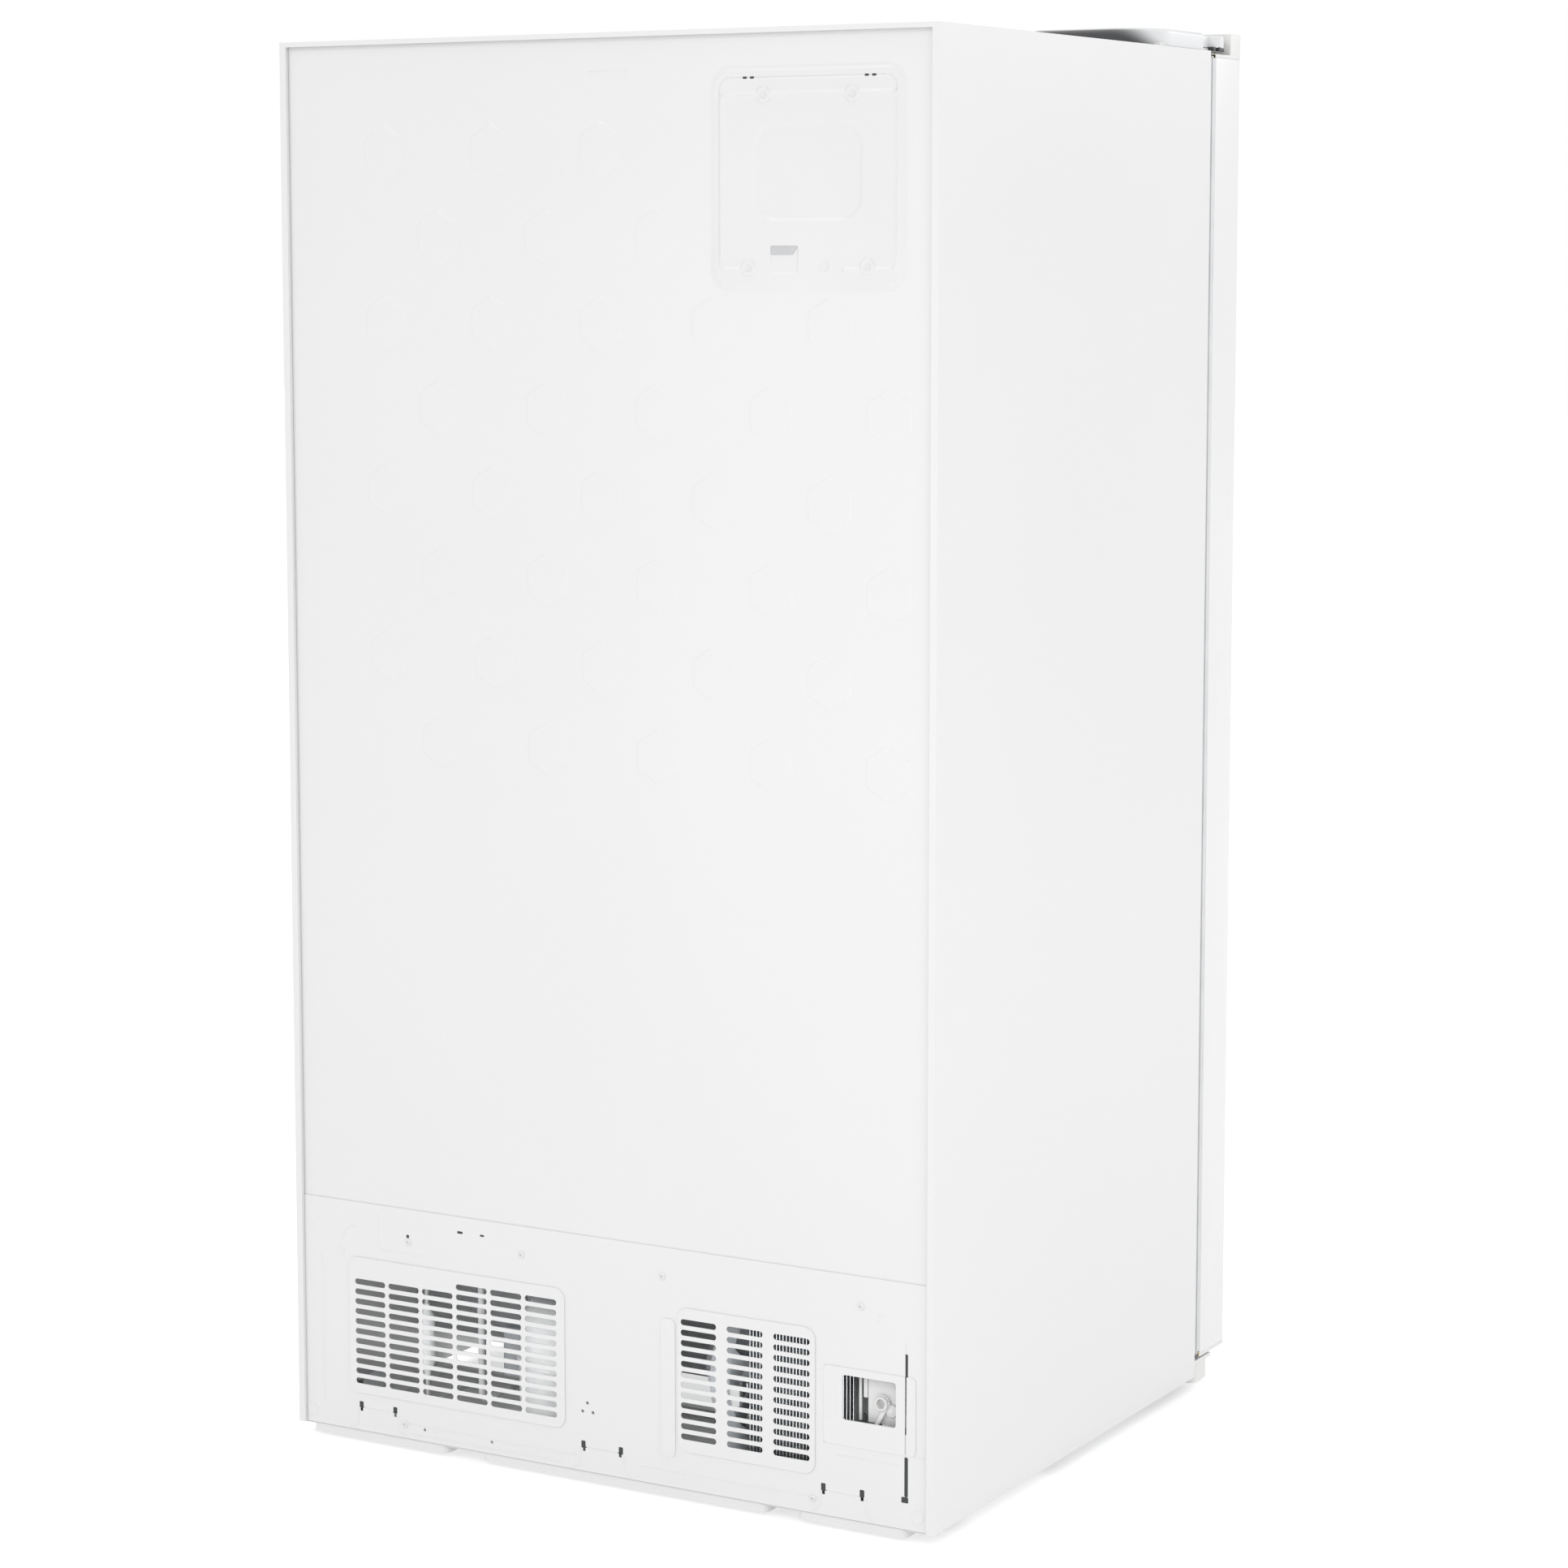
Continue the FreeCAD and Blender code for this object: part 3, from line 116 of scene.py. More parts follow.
def rings_shell(rings: Array, closed: bool = False) -> tuple[Array, ...]:
    """Join rings of points into a shell.

    Each ring is joined to the next by four-sided faces. The first and last rings are closed by a
    flat face, or joined to each other where the rings go round.

    Args:
        rings: Points as (ring, place on the ring, xyz).
        closed: True where the last ring joins the first.

    Returns:
        The points and the index tables of the faces.
    """
    count, size = rings.shape[:2]
    ring = np.arange(count if closed else count - 1)[:, None]
    place = np.arange(size)[None]
    after = (ring + 1) % count
    near = (place + 1) % size
    quads = np.stack([ring * size + place, ring * size + near, after * size + near,
                      after * size + place], -1).reshape(-1, 4)
    points = rings.reshape(-1, 3)
    if closed:
        return points, quads
    caps = np.stack([np.arange(size)[::-1], np.arange(size) + (count - 1) * size])
    return points, quads, caps


def rounded_rectangle(u: Range, v: Range, radius: float, steps: int = 7) -> Array:
    """Outline of four quarter circles joined by straight runs, counter-clockwise.

    Args:
        u: Low and high edge along the first axis.
        v: Low and high edge along the second axis.
        radius: Corner radius.
        steps: Points on each quarter circle.

    Returns:
        The outline as rows of two numbers.
    """
    radius = max(min(radius, (u[1] - u[0]) / 2 - TINY, (v[1] - v[0]) / 2 - TINY), TINY)
    centres = np.array([(u[1] - radius, v[1] - radius), (u[0] + radius, v[1] - radius),
                        (u[0] + radius, v[0] + radius), (u[1] - radius, v[0] + radius)])
    turn = (np.arange(4) * QUARTER)[:, None] + np.linspace(0, QUARTER, steps)[None]
    arcs = radius * np.stack([np.cos(turn), np.sin(turn)], -1)
    return (centres[:, None] + arcs).reshape(-1, 2)


def circle(centre: Range, radius: float, steps: int = 32) -> Array:
    """Outline of a circle as rows of two numbers."""
    turn = np.linspace(0, 2 * math.pi, steps, endpoint=False)
    return np.array(centre) + radius * np.stack([np.cos(turn), np.sin(turn)], -1)


def inset(outline: Array, distance: float) -> Array:
    """Outline whose edges all move inwards by one distance.

    Each corner moves against the sum of its two edge normals, divided by one plus their product.

    Args:
        outline: Counter-clockwise outline.
        distance: How far the edges move.

    Returns:
        The moved outline.
    """
    step = np.roll(outline, -1, 0) - outline
    step /= np.linalg.norm(step, axis=1, keepdims=True) + 1e-9
    after = np.stack([step[:, 1], -step[:, 0]], -1)
    before = np.roll(after, 1, 0)
    scale = 1 + (after * before).sum(1, keepdims=True)
    return outline - distance * (after + before) / np.maximum(scale, 0.2)


def placed(flat: Array, level: float | Array, facing: Facing) -> Array:
    """Outline points put into space at a level along the facing's third axis."""
    points = np.empty(flat.shape[:-1] + (3,))
    axes = facing.value
    points[..., axes[0]] = flat[..., 0]
    points[..., axes[1]] = flat[..., 1]
    points[..., axes[2]] = level
    return points


def edge_profile(low: float, high: float, low_edge: float, high_edge: float,
                 steps: int = 4) -> Array:
    """Inset and level of a slab's side wall, with a quarter round at each end.

    Args:
        low: Level of one flat face.
        high: Level of the other flat face.
        low_edge: Radius of the round at the low face.
        high_edge: Radius of the round at the high face.
        steps: Points on each round.

    Returns:
        Rows of inset and level.
    """
    turn = np.linspace(0, QUARTER, steps)
    lower = np.stack([low_edge * (1 - np.sin(turn)), low + low_edge * (1 - np.cos(turn))], -1)
    upper = np.stack([high_edge * (1 - np.cos(turn)), high - high_edge * (1 - np.sin(turn))], -1)
    return np.concatenate([lower, upper])


def slab(outline: Array, profile: Array, facing: Facing) -> tuple[Array, ...]:
    """Shell of an outline carried through rows of inset and level."""
    rings = np.stack([placed(inset(outline, far), level, facing) for far, level in profile])
    return rings_shell(rings)


def block(x: Range, y: Range, z: Range, radius: float = 0.4, edge: float = 0.4,
          facing: Facing = Facing.UP) -> tuple[Array, ...]:
    """Box with rounded corners in its facing's plane and rounded edges at both ends.

    Args:
        x: Low and high side.
        y: Low and high side.
        z: Low and high side.
        radius: Corner radius in the plane of the outline.
        edge: Radius of the rounded edges.
        facing: Axis of the thickness.

    Returns:
        The points and the index tables of the faces.
    """
    sides = (x, y, z)
    u, v, depth = (sides[axis] for axis in facing.value)
    edge = min(edge, (depth[1] - depth[0]) / 2.01, radius)
    return slab(rounded_rectangle(u, v, radius), edge_profile(*depth, edge, edge), facing)


def frame_loop(u: Range, v: Range, radius: float, section: Array,
               facing: Facing) -> tuple[Array, ...]:
    """Section carried round a rounded rectangle, such as a gasket or a rim.

    Args:
        u: Outer edges along the first axis.
        v: Outer edges along the second axis.
        radius: Outer corner radius.
        section: Closed section as rows of inset and level.
        facing: Axis of the level.

    Returns:
        The points and the index tables of the faces.
    """
    rings = [placed(rounded_rectangle((u[0] + far, u[1] - far), (v[0] + far, v[1] - far),
                                      radius - far), level, facing) for far, level in section]
    return rings_shell(np.stack(rings), closed=True)


def tub(x: Range, y: Range, z: Range, wall: float, radius: float, draft: float = 3.0,
        rim: float = 2.5) -> tuple[Array, ...]:
    """Open-topped box with a rolled rim, walls that lean out and a rounded floor.

    The rings run up the outside, over the rim and down the inside, and both floors are closed.

    Args:
        x: Outer sides at the rim.
        y: Outer sides at the rim.
        z: Underside and top.
        wall: Wall thickness.
        radius: Corner radius at the rim.
        draft: How far the walls lean in at the floor.
        rim: How far the rim stands out.

    Returns:
        The points and the index tables of the faces.
    """
    fillet = 6.0
    body = rim
    turn = np.linspace(0, QUARTER, 5)
    floor_round = [(body + draft + fillet * (1 - math.sin(t)), z[0] + fillet * (1 - math.cos(t)))
                   for t in turn]
    inner_round = [(body + draft + wall + (fillet - wall) * (1 - math.sin(t)),
                    z[0] + wall + (fillet - wall) * (1 - math.cos(t))) for t in turn[::-1]]
    profile = floor_round + [(body, z[1] - 9), (0.4, z[1] - 8), (0.0, z[1] - 6), (0.0, z[1] - 1),
                             (0.6, z[1]), (body + wall - 0.6, z[1]), (body + wall, z[1] - 1)]
    profile += inner_round
    rings = [placed(rounded_rectangle((x[0] + far, x[1] - far), (y[0] + far, y[1] - far),
                                      max(radius - far, 1.0)), level, Facing.UP)
             for far, level in profile]
    return rings_shell(np.stack(rings))


def bent_path(corners: Array, bend: float, steps: int = 6) -> Array:
    """Rigid tube's centre line: straight runs joined by arcs of one radius.

    The arc at a corner is the quadratic curve through its two tangent points, which for the right
    angles used here stays within a tenth of the radius of the circle.

    Args:
        corners: Places where the runs meet.
        bend: Distance from a corner to where its arc starts.
        steps: Points on each arc.

    Returns:
        Points along the line.
    """
    corners = np.asarray(corners, float)
    middle = corners[1:-1]
    before = corners[:-2] - middle
    after = corners[2:] - middle
    reach_before = np.linalg.norm(before, axis=1, keepdims=True)
    reach_after = np.linalg.norm(after, axis=1, keepdims=True)
    reach = np.minimum(bend, np.minimum(reach_before, reach_after) * 0.49)
    start = middle + before / reach_before * reach
    end = middle + after / reach_after * reach
    t = np.linspace(0, 1, steps)[None, :, None]
    arcs = ((1 - t) ** 2 * start[:, None] + 2 * t * (1 - t) * middle[:, None] * 1.0
            + t ** 2 * end[:, None])
    return np.concatenate([corners[:1], arcs.reshape(-1, 3), corners[-1:]])


def sweep(path: Array, section: Array, up: Array | None = None,
          end_round: bool = True) -> tuple[Array, ...]:
    """Section carried along a path.

    At each place the section lies in the plane across the path. Its first axis is the cross
    product of the path's direction with a fixed vector, and its second completes the set.

    Args:
        path: Points along the line.
        section: Outline as rows of two numbers about the line.
        up: Fixed vector, never along the path.
        end_round: True to shrink the two end rings a little.

    Returns:
        The points and the index tables of the faces.
    """
    path = np.asarray(path, float)
    up = np.array([0.31, 0.52, 0.79]) if up is None else np.asarray(up, float)
    ahead = np.gradient(path, axis=0)
    ahead /= np.linalg.norm(ahead, axis=1, keepdims=True)
    side = np.cross(ahead, up)
    side /= np.linalg.norm(side, axis=1, keepdims=True)
    over = np.cross(side, ahead)
    rings = (path[:, None] + section[None, :, :1] * side[:, None]
             + section[None, :, 1:] * over[:, None])
    if end_round:
        reach = np.abs(section).max() * 0.3
        first = path[0] + (rings[0] - path[0]) * 0.75 - ahead[0] * reach
        last = path[-1] + (rings[-1] - path[-1]) * 0.75 + ahead[-1] * reach
        rings = np.concatenate([first[None], rings, last[None]])
    return rings_shell(rings)


def tube(corners: list, radius: float, bend: float = 14.0, sides: int = 12) -> tuple[Array, ...]:
    """Round tube along straight runs and bends."""
    return sweep(bent_path(np.array(corners, float), bend), circle((0, 0), radius, sides))


def turned(profile: Array, centre: tuple, axis: str, steps: int = 36) -> tuple[Array, ...]:
    """Shape turned about an axis.

    Args:
        profile: Rows of radius and place along the axis, from one end to the other.
        centre: A point on the axis, from which the places are counted.
        axis: "x", "y" or "z".
        steps: Points round the axis.

    Returns:
        The points and the index tables of the faces.
    """
    profile = np.maximum(np.asarray(profile, float), [TINY, -1e9])
    turn = np.linspace(0, 2 * math.pi, steps, endpoint=False)
    along = {"x": 0, "y": 1, "z": 2}[axis]
    first, second = (along + 1) % 3, (along + 2) % 3
    rings = np.zeros((len(profile), steps, 3))
    rings[..., along] = profile[:, 1:]
    rings[..., first] = profile[:, :1] * np.cos(turn)
    rings[..., second] = profile[:, :1] * np.sin(turn)
    return rings_shell(rings + np.array(centre, float))


def filled_rectangle(x: Range, z: Range, radius: float, step: float) -> tuple[Array, Array]:
    """Grid that fills a rectangle with round corners.

    A point of a square grid lies on a square ring of its own size. That ring becomes a rounded
    rectangle of the same share of the whole: a point in a ring's corner is moved along the line
    from the arc's centre until it is one arc radius away.

    Args:
        x: Low and high edge.
        z: Low and high edge.
        radius: Corner radius of the outermost ring.
        step: Distance between grid lines.

    Returns:
        The x and the z of each grid point.
    """
    half = np.array([(x[1] - x[0]) / 2, (z[1] - z[0]) / 2])
    counts = np.ceil(2 * half / step).astype(int) + 1
    grid = np.stack(np.meshgrid(np.linspace(-1, 1, counts[0]), np.linspace(-1, 1, counts[1]),
                                indexing="ij"), -1)
    share = np.abs(grid).max(-1, keepdims=True)
    place = np.abs(grid) * half
    arc = radius * share
    out = place - (half * share - arc)
    corner = (out > 0).all(-1, keepdims=True)
    length = np.linalg.norm(out, axis=-1, keepdims=True) + 1e-9
    reach = np.maximum(out.max(-1, keepdims=True), 1e-9)
    moved = (half * share - arc) + out / length * reach
    place = np.where(corner, moved, place) * np.sign(grid)
    return place[..., 0] + sum(x) / 2, place[..., 1] + sum(z) / 2


def sheet_shell(x: Array, z: Array, face: Array, back: float) -> tuple[Array, ...]:
    """Closed sheet with a shaped face over a flat back.

    Args:
        x: Grid of x.
        z: Grid of z.
        face: Grid of y on the shaped face.
        back: The y of the flat back.

    Returns:
        The points and the index tables of the faces.
    """
    rows, columns = x.shape
    top = np.stack([x, face, z], -1).reshape(-1, 3)
    index = np.arange(rows * columns).reshape(rows, columns)
    quads = np.stack([index[:-1, :-1], index[1:, :-1], index[1:, 1:], index[:-1, 1:]],
                     -1).reshape(-1, 4)
    rim = np.concatenate([index[:-1, 0], index[-1, :-1], index[:0:-1, -1], index[0, :0:-1]])
    low = top[rim].copy()
    low[:, 1] = back
    start = rows * columns
    size = len(rim)
    place = np.arange(size)
    near = (place + 1) % size
    wall = np.stack([rim[place], start + place, start + near, rim[near]], -1)
    cap = (start + place[::-1])[None]
    return np.concatenate([top, low]), quads, wall[:, ::-1], cap[:, ::-1]


def smooth_step(value: Array, start: float, end: float) -> Array:
    """Zero before start, one after end, and three t squared less two t cubed between them."""
    t = np.clip((value - start) / (end - start), 0, 1)
    return t * t * (3 - 2 * t)


def rectangle_distance(x: Array, z: Array, box: tuple[Range, Range], radius: float) -> Array:
    """Distance to a rounded rectangle's outline, negative inside it."""
    (x0, x1), (z0, z1) = box
    dx = np.abs(x - (x0 + x1) / 2) - (x1 - x0) / 2 + radius
    dz = np.abs(z - (z0 + z1) / 2) - (z1 - z0) / 2 + radius
    outside = np.hypot(np.maximum(dx, 0), np.maximum(dz, 0))
    return outside + np.minimum(np.maximum(dx, dz), 0) - radius


def make_piece(name: str, surface: Surface, material: bpy.types.Material, body: str,
               replaces: tuple[str, ...] = (), sharp: float = 32.0) -> bpy.types.Object:
    """Turn a surface into an object that rides on a body.

    Args:
        name: The piece's name.
        surface: Its shells, in millimetres.
        material: Its finish.
        body: CAD body that it moves with.
        replaces: CAD nodes that it stands for.
        sharp: Edges that turn by more degrees than this stay sharp in the shading.

    Returns:
        The new object.
    """
    points = np.concatenate(surface.points) * MM
    sizes = np.concatenate([np.full(len(table), table.shape[1]) for table in surface.faces])
    corners = np.concatenate([table.ravel() for table in surface.faces])
    mesh = bpy.data.meshes.new(name)
    mesh.vertices.add(len(points))
    mesh.vertices.foreach_set("co", points.astype(np.float32).ravel())
    mesh.loops.add(len(corners))
    mesh.loops.foreach_set("vertex_index", corners.astype(np.int32))
    mesh.polygons.add(len(sizes))
    starts = np.concatenate([[0], np.cumsum(sizes)[:-1]])
    mesh.polygons.foreach_set("loop_start", starts.astype(np.int32))
    mesh.update(calc_edges=True)
    mesh.validate()
    mesh.shade_smooth()
    mesh.set_sharp_from_angle(angle=math.radians(sharp))
    mesh.materials.append(material)
    piece = bpy.data.objects.new(name, mesh)
    bpy.context.scene.collection.objects.link(piece)
    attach(piece, body)
    if replaces:
        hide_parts(*replaces)
    log.info("piece %s: %d faces on %s", name, len(sizes), body)
    return piece


# ---------------------------------------------------------------- finishes


def linear(colour: str) -> tuple[float, float, float, float]:
    """sRGB hex value as linear red, green, blue and alpha."""
    parts = [int(colour[start:start + 2], 16) / 255 for start in (1, 3, 5)]
    red, green, blue = (part / 12.92 if part <= 0.04045 else ((part + 0.055) / 1.055) ** 2.4
                        for part in parts)
    return red, green, blue, 1.0


def per_metre(size: float) -> float:
    """Texture scale at which one feature is this many millimetres."""
    return 1000.0 / size


def add_node(tree: bpy.types.NodeTree, kind: str, values: dict | None = None,
             links: dict | None = None, **settings) -> bpy.types.Node:
    """Add a node with its settings, its input values and the outputs that feed it.

    Args:
        tree: Tree that gets the node.
        kind: Blender's type name.
        values: Values by input name or number.
        links: Output sockets by input name or number.
        settings: Properties of the node.

    Returns:
        The new node.
    """
    node = tree.nodes.new(kind)
    for key, value in settings.items():
        setattr(node, key, value)
    for key, value in (values or {}).items():
        node.inputs[key].default_value = value
    for key, output in (links or {}).items():
        tree.links.new(output, node.inputs[key])
    return node


@dataclass(frozen=True)
class Finish:
    """A surface's colour, gloss and fine relief.

    The colour wanders between two close tones over a patch size, and the gloss with it. The
    relief is a noise of its own grain size, drawn as a bump.
    """

    name: str
    colour: str
    second: str
    roughness: float = 0.4
    roughness_spread: float = 0.06
    patch: float = 180.0
    grain: float = 3.0
    grain_height: float = 0.02
    metallic: float = 0.0
    coat: float = 0.0
    transmission: float = 0.0
    ior: float = 1.5
    alpha: float = 1.0
    stretch: tuple[float, float, float] = (1.0, 1.0, 1.0)

    def colour_mix(self, tree: bpy.types.NodeTree, place: bpy.types.NodeSocket) -> tuple:
        """Colour socket and the noise socket that drives it.

        Args:
            tree: The material's tree.
            place: Socket that gives the place on the object.

        Returns:
            The colour output and the noise output.
        """
        noise = add_node(tree, "ShaderNodeTexNoise", {"Scale": per_metre(self.patch), "Detail": 3.0,
                                                      "Roughness": 0.55}, {"Vector": place})
        value = noise.outputs["Fac"]
        return self.mixed(tree, value, self.colour, self.second), value

    @staticmethod
    def mixed(tree: bpy.types.NodeTree, factor: bpy.types.NodeSocket, first: str,
              second: str) -> bpy.types.NodeSocket:
        """Colour that goes from the first to the second as the factor crosses its middle."""
        ramp = add_node(tree, "ShaderNodeValToRGB", links={0: factor})
        low, high = ramp.color_ramp.elements
        low.position, low.color = 0.36, linear(first)
        high.position, high.color = 0.64, linear(second)
        return ramp.outputs["Color"]

    def relief(self, tree: bpy.types.NodeTree, place: bpy.types.NodeSocket) -> bpy.types.NodeSocket:
        """Bumped normal of the finish's fine grain."""
        grain = add_node(tree, "ShaderNodeTexNoise", {"Scale": per_metre(self.grain), "Detail": 2.0,
                                                      "Roughness": 0.5}, {"Vector": place})
        bump = add_node(tree, "ShaderNodeBump",
                        {"Strength": 1.0, "Distance": self.grain_height * MM},
                        {"Height": grain.outputs["Fac"]})
        return bump.outputs["Normal"]

    def material(self) -> bpy.types.Material:
        """The finish as a node material, made once and then reused.

        Returns:
            The material.
        """
        made = bpy.data.materials.get(self.name)
        if made:
            return made
        made = bpy.data.materials.new(self.name)
        made.use_nodes = True
        tree = made.node_tree
        shader = tree.nodes["Principled BSDF"]
        place = add_node(tree, "ShaderNodeTexCoord").outputs["Object"]
        if self.stretch != (1.0, 1.0, 1.0):
            place = add_node(tree, "ShaderNodeMapping", {"Scale": self.stretch},
                             {"Vector": place}).outputs["Vector"]
        colour, noise = self.colour_mix(tree, place)
        tree.links.new(colour, shader.inputs["Base Color"])
        gloss = add_node(tree, "ShaderNodeMapRange",
                         {"To Min": self.roughness - self.roughness_spread,
                          "To Max": self.roughness + self.roughness_spread}, {"Value": noise})
        tree.links.new(gloss.outputs["Result"], shader.inputs["Roughness"])
        tree.links.new(self.relief(tree, place), shader.inputs["Normal"])
        shader.inputs["Metallic"].default_value = self.metallic
        if not self.metallic:
            shader.inputs["IOR"].default_value = self.ior
        shader.inputs["Coat Weight"].default_value = self.coat
        shader.inputs["Coat Roughness"].default_value = 0.12
        shader.inputs["Transmission Weight"].default_value = self.transmission
        shader.inputs["Alpha"].default_value = self.alpha
        return made


@dataclass(frozen=True)
class Spangle(Finish):
    """Hot-dip galvanised sheet, whose zinc froze into flat crystals of a few millimetres."""

    def colour_mix(self, tree: bpy.types.NodeTree, place: bpy.types.NodeSocket) -> tuple:
        """Each crystal has one tone of grey, and its gloss follows the tone."""
        cells = add_node(tree, "ShaderNodeTexVoronoi", {"Scale": per_metre(self.patch)},
                         {"Vector": place})
        tone = add_node(tree, "ShaderNodeSeparateColor", links={"Color": cells.outputs["Color"]})
        value = tone.outputs["Red"]
        return self.mixed(tree, value, self.colour, self.second), value


@dataclass(frozen=True)
class PaintedShadeCover(Finish):
    """Grey moulding with painted shade: dark where it looks at the wall, light on the side of the
    case.

    The painted shade is worked out from the place on the object. It follows y, less the height
    above the moulding's middle, so that the edge of the dark area slants over the round corner, and
    the top is painted light.
    """

    dark_from: float = -0.1205
    light_from: float = -0.152
    middle: float = 1.762
    top: tuple[float, float] = (1.7703, 1.7722)

    def colour_mix(self, tree: bpy.types.NodeTree, place: bpy.types.NodeSocket) -> tuple:
        """Painted shade: dark at the wall end, light toward the doors and on the top."""
        parts = add_node(tree, "ShaderNodeSeparateXYZ", links={0: place})
        slant = add_node(tree, "ShaderNodeMath", {0: self.middle}, {1: parts.outputs["Z"]},
                         operation="SUBTRACT")
        far = add_node(tree, "ShaderNodeMath", links={0: slant.outputs[0], 1: parts.outputs["Y"]},
                       operation="ADD")
        share = add_node(tree, "ShaderNodeMapRange", {"From Min": self.light_from,
                                                      "From Max": self.dark_from},
                         {"Value": far.outputs[0]}, interpolation_type="SMOOTHSTEP")
        under = add_node(tree, "ShaderNodeMapRange", {"From Min": self.top[1],
                                                      "From Max": self.top[0]},
                         {"Value": parts.outputs["Z"]})
        # painted shade: the dark share at the wall end, taken away on the top
        dark = add_node(tree, "ShaderNodeMath", links={0: share.outputs["Result"],
                                                       1: under.outputs["Result"]},
                        operation="MULTIPLY").outputs[0]
        blend = add_node(tree, "ShaderNodeValToRGB", links={0: dark})
        low, high = blend.color_ramp.elements
        low.color, high.color = linear(self.colour), linear(self.second)
        return blend.outputs["Color"], dark


@dataclass(frozen=True)
class CircuitBoard(Finish):
    """Fibreglass board under green solder mask, with its copper tracks just showing."""

    def colour_mix(self, tree: bpy.types.NodeTree, place: bpy.types.NodeSocket) -> tuple:
        """Tracks are the narrow bands of a brick pattern two millimetres apart."""
        turned_place = add_node(tree, "ShaderNodeMapping", {"Rotation": (QUARTER, 0, 0)},
                                {"Vector": place}).outputs["Vector"]
        tracks = add_node(tree, "ShaderNodeTexBrick",
                          {"Scale": 1.0, "Color1": linear(self.colour),
                           "Color2": linear(self.colour), "Mortar": linear(self.second),
                           "Mortar Size": 0.0005, "Brick Width": 0.012, "Row Height": 0.0024},
                          {"Vector": turned_place})
        return tracks.outputs["Color"], tracks.outputs["Fac"]


@dataclass(frozen=True)
class Palette:
    """Every finish on the refrigerator."""

    # polyester enamel on coil-coated steel: near white, a faint orange peel, a soft shine
    enamel: Finish = Finish("white_polyester_enamel", "#d4d4d4", "#d5d5d5", roughness=0.36,
                            grain=2.6, grain_height=0.012, coat=0.15, patch=420.0)
    # the same enamel on the doors, one coat glossier
    door_enamel: Finish = Finish("white_door_enamel", "#d5d5d5", "#d7d7d7", roughness=0.28,
                                 grain=2.2, grain_height=0.010, coat=0.3, patch=420.0)
    # pressed steel cover, enamelled after pressing, a little flatter
    cover_enamel: Finish = Finish("pressed_cover_enamel", "#d2d2d2", "#d4d4d4", roughness=0.42,
                                  grain=2.4, grain_height=0.014, coat=0.08, patch=240.0)
    # injection-moulded ABS with a spark-eroded grain
    white_abs: Finish = Finish("white_moulded_abs", "#d2d2d1", "#d6d6d5", roughness=0.42,
                               grain=0.9, grain_height=0.012, patch=90.0, ior=1.53)
    # vacuum-formed high-impact polystyrene of the liners: smooth, slightly milky
    liner: Finish = Finish("vacuum_formed_polystyrene", "#d6d9da", "#dbdddd", roughness=0.3,
                           grain=5.0, grain_height=0.03, patch=260.0, ior=1.59)
    # hinge moulding with painted shade: dark at the wall end, light toward the doors and on the top
    hinge_cover: Finish = PaintedShadeCover("hinge_cover_painted_shade_abs", "#d3d4d5", "#3f4042", roughness=0.46,
                                      grain=0.9, grain_height=0.01, ior=1.53)
    # grey polypropylene of the kick plate
    grey_plastic: Finish = Finish("grey_polypropylene", "#8d9093", "#989b9e", roughness=0.5,
                                  grain=0.8, grain_height=0.015, patch=60.0, ior=1.49)
    # glass-filled black nylon
    dark_plastic: Finish = Finish("dark_moulded_nylon", "#26282a", "#303234", roughness=0.46,
                                  grain=0.7, grain_height=0.014, patch=50.0, ior=1.53)
    # piano-black window over the display
    gloss_black: Finish = Finish("gloss_black_acrylic", "#0b0c0d", "#101113", roughness=0.08,
                                 roughness_spread=0.02, grain=40.0, grain_height=0.004, coat=0.6)
    # general-purpose polystyrene of drawers and bins, water clear with a blue cast
    clear: Finish = Finish("clear_polystyrene", "#eaf2f5", "#e3eef2", roughness=0.1,
                           roughness_spread=0.03, grain=9.0, grain_height=0.02, ior=1.59,
                           transmission=0.88, patch=120.0)
    # tempered float glass, faintly green
    glass: Finish = Finish("tempered_float_glass", "#e6f2ec", "#dff0e8", roughness=0.04,
                           roughness_spread=0.01, grain=60.0, grain_height=0.006, ior=1.52,
                           transmission=0.92, patch=300.0)
    # anodised aluminium, brushed along its length: fine lines drawn 0.8 mm apart so they show
    brushed: Finish = Finish("brushed_anodised_aluminium", "#c3c5c8", "#cfd1d3", roughness=0.3,
                             roughness_spread=0.07, grain=0.8, grain_height=0.008, metallic=1.0,
                             patch=3.0, stretch=(1.0, 1.0, 0.02))
    # hot-dip galvanised steel with its spangle
    galvanised: Finish = Spangle("galvanised_steel", "#a9adb0", "#bfc3c5", roughness=0.42,
                                 roughness_spread=0.12, patch=7.0, grain=2.0, grain_height=0.01,
                                 metallic=0.9)
    # bright zinc plate on screws and feet
    zinc: Finish = Finish("bright_zinc_plate", "#c6c9cb", "#d6d8d8", roughness=0.3, metallic=1.0,
                          patch=6.0, grain=0.6, grain_height=0.006)
    # sprayed light-grey paint of the compressor pot
    pot_paint: Finish = Finish("compressor_grey_paint", "#c9cbcc", "#d4d6d6", roughness=0.38,
                               patch=30.0, grain=2.0, grain_height=0.02, coat=0.2)
    # grey electrocoat on the condenser tubes, dulled by dust
    coil_paint: Finish = Finish("condenser_grey_electrocoat", "#7c7e80", "#8d8f91",
                                roughness=0.45, patch=14.0, grain=1.2, grain_height=0.02)
    # mill-finish aluminium fin stock
    fin_metal: Finish = Finish("mill_finish_aluminium", "#c4c7c9", "#d3d5d6", roughness=0.34,
                               metallic=1.0, patch=18.0, grain=0.8, grain_height=0.006)
    # copper-washed steel line under a sprayed grey lacquer, dulled where it was handled
    copper: Finish = Finish("grey_lacquered_tube", "#b9babb", "#a8a9aa", roughness=0.4,
                            roughness_spread=0.1, patch=16.0, grain=1.0, grain_height=0.006)
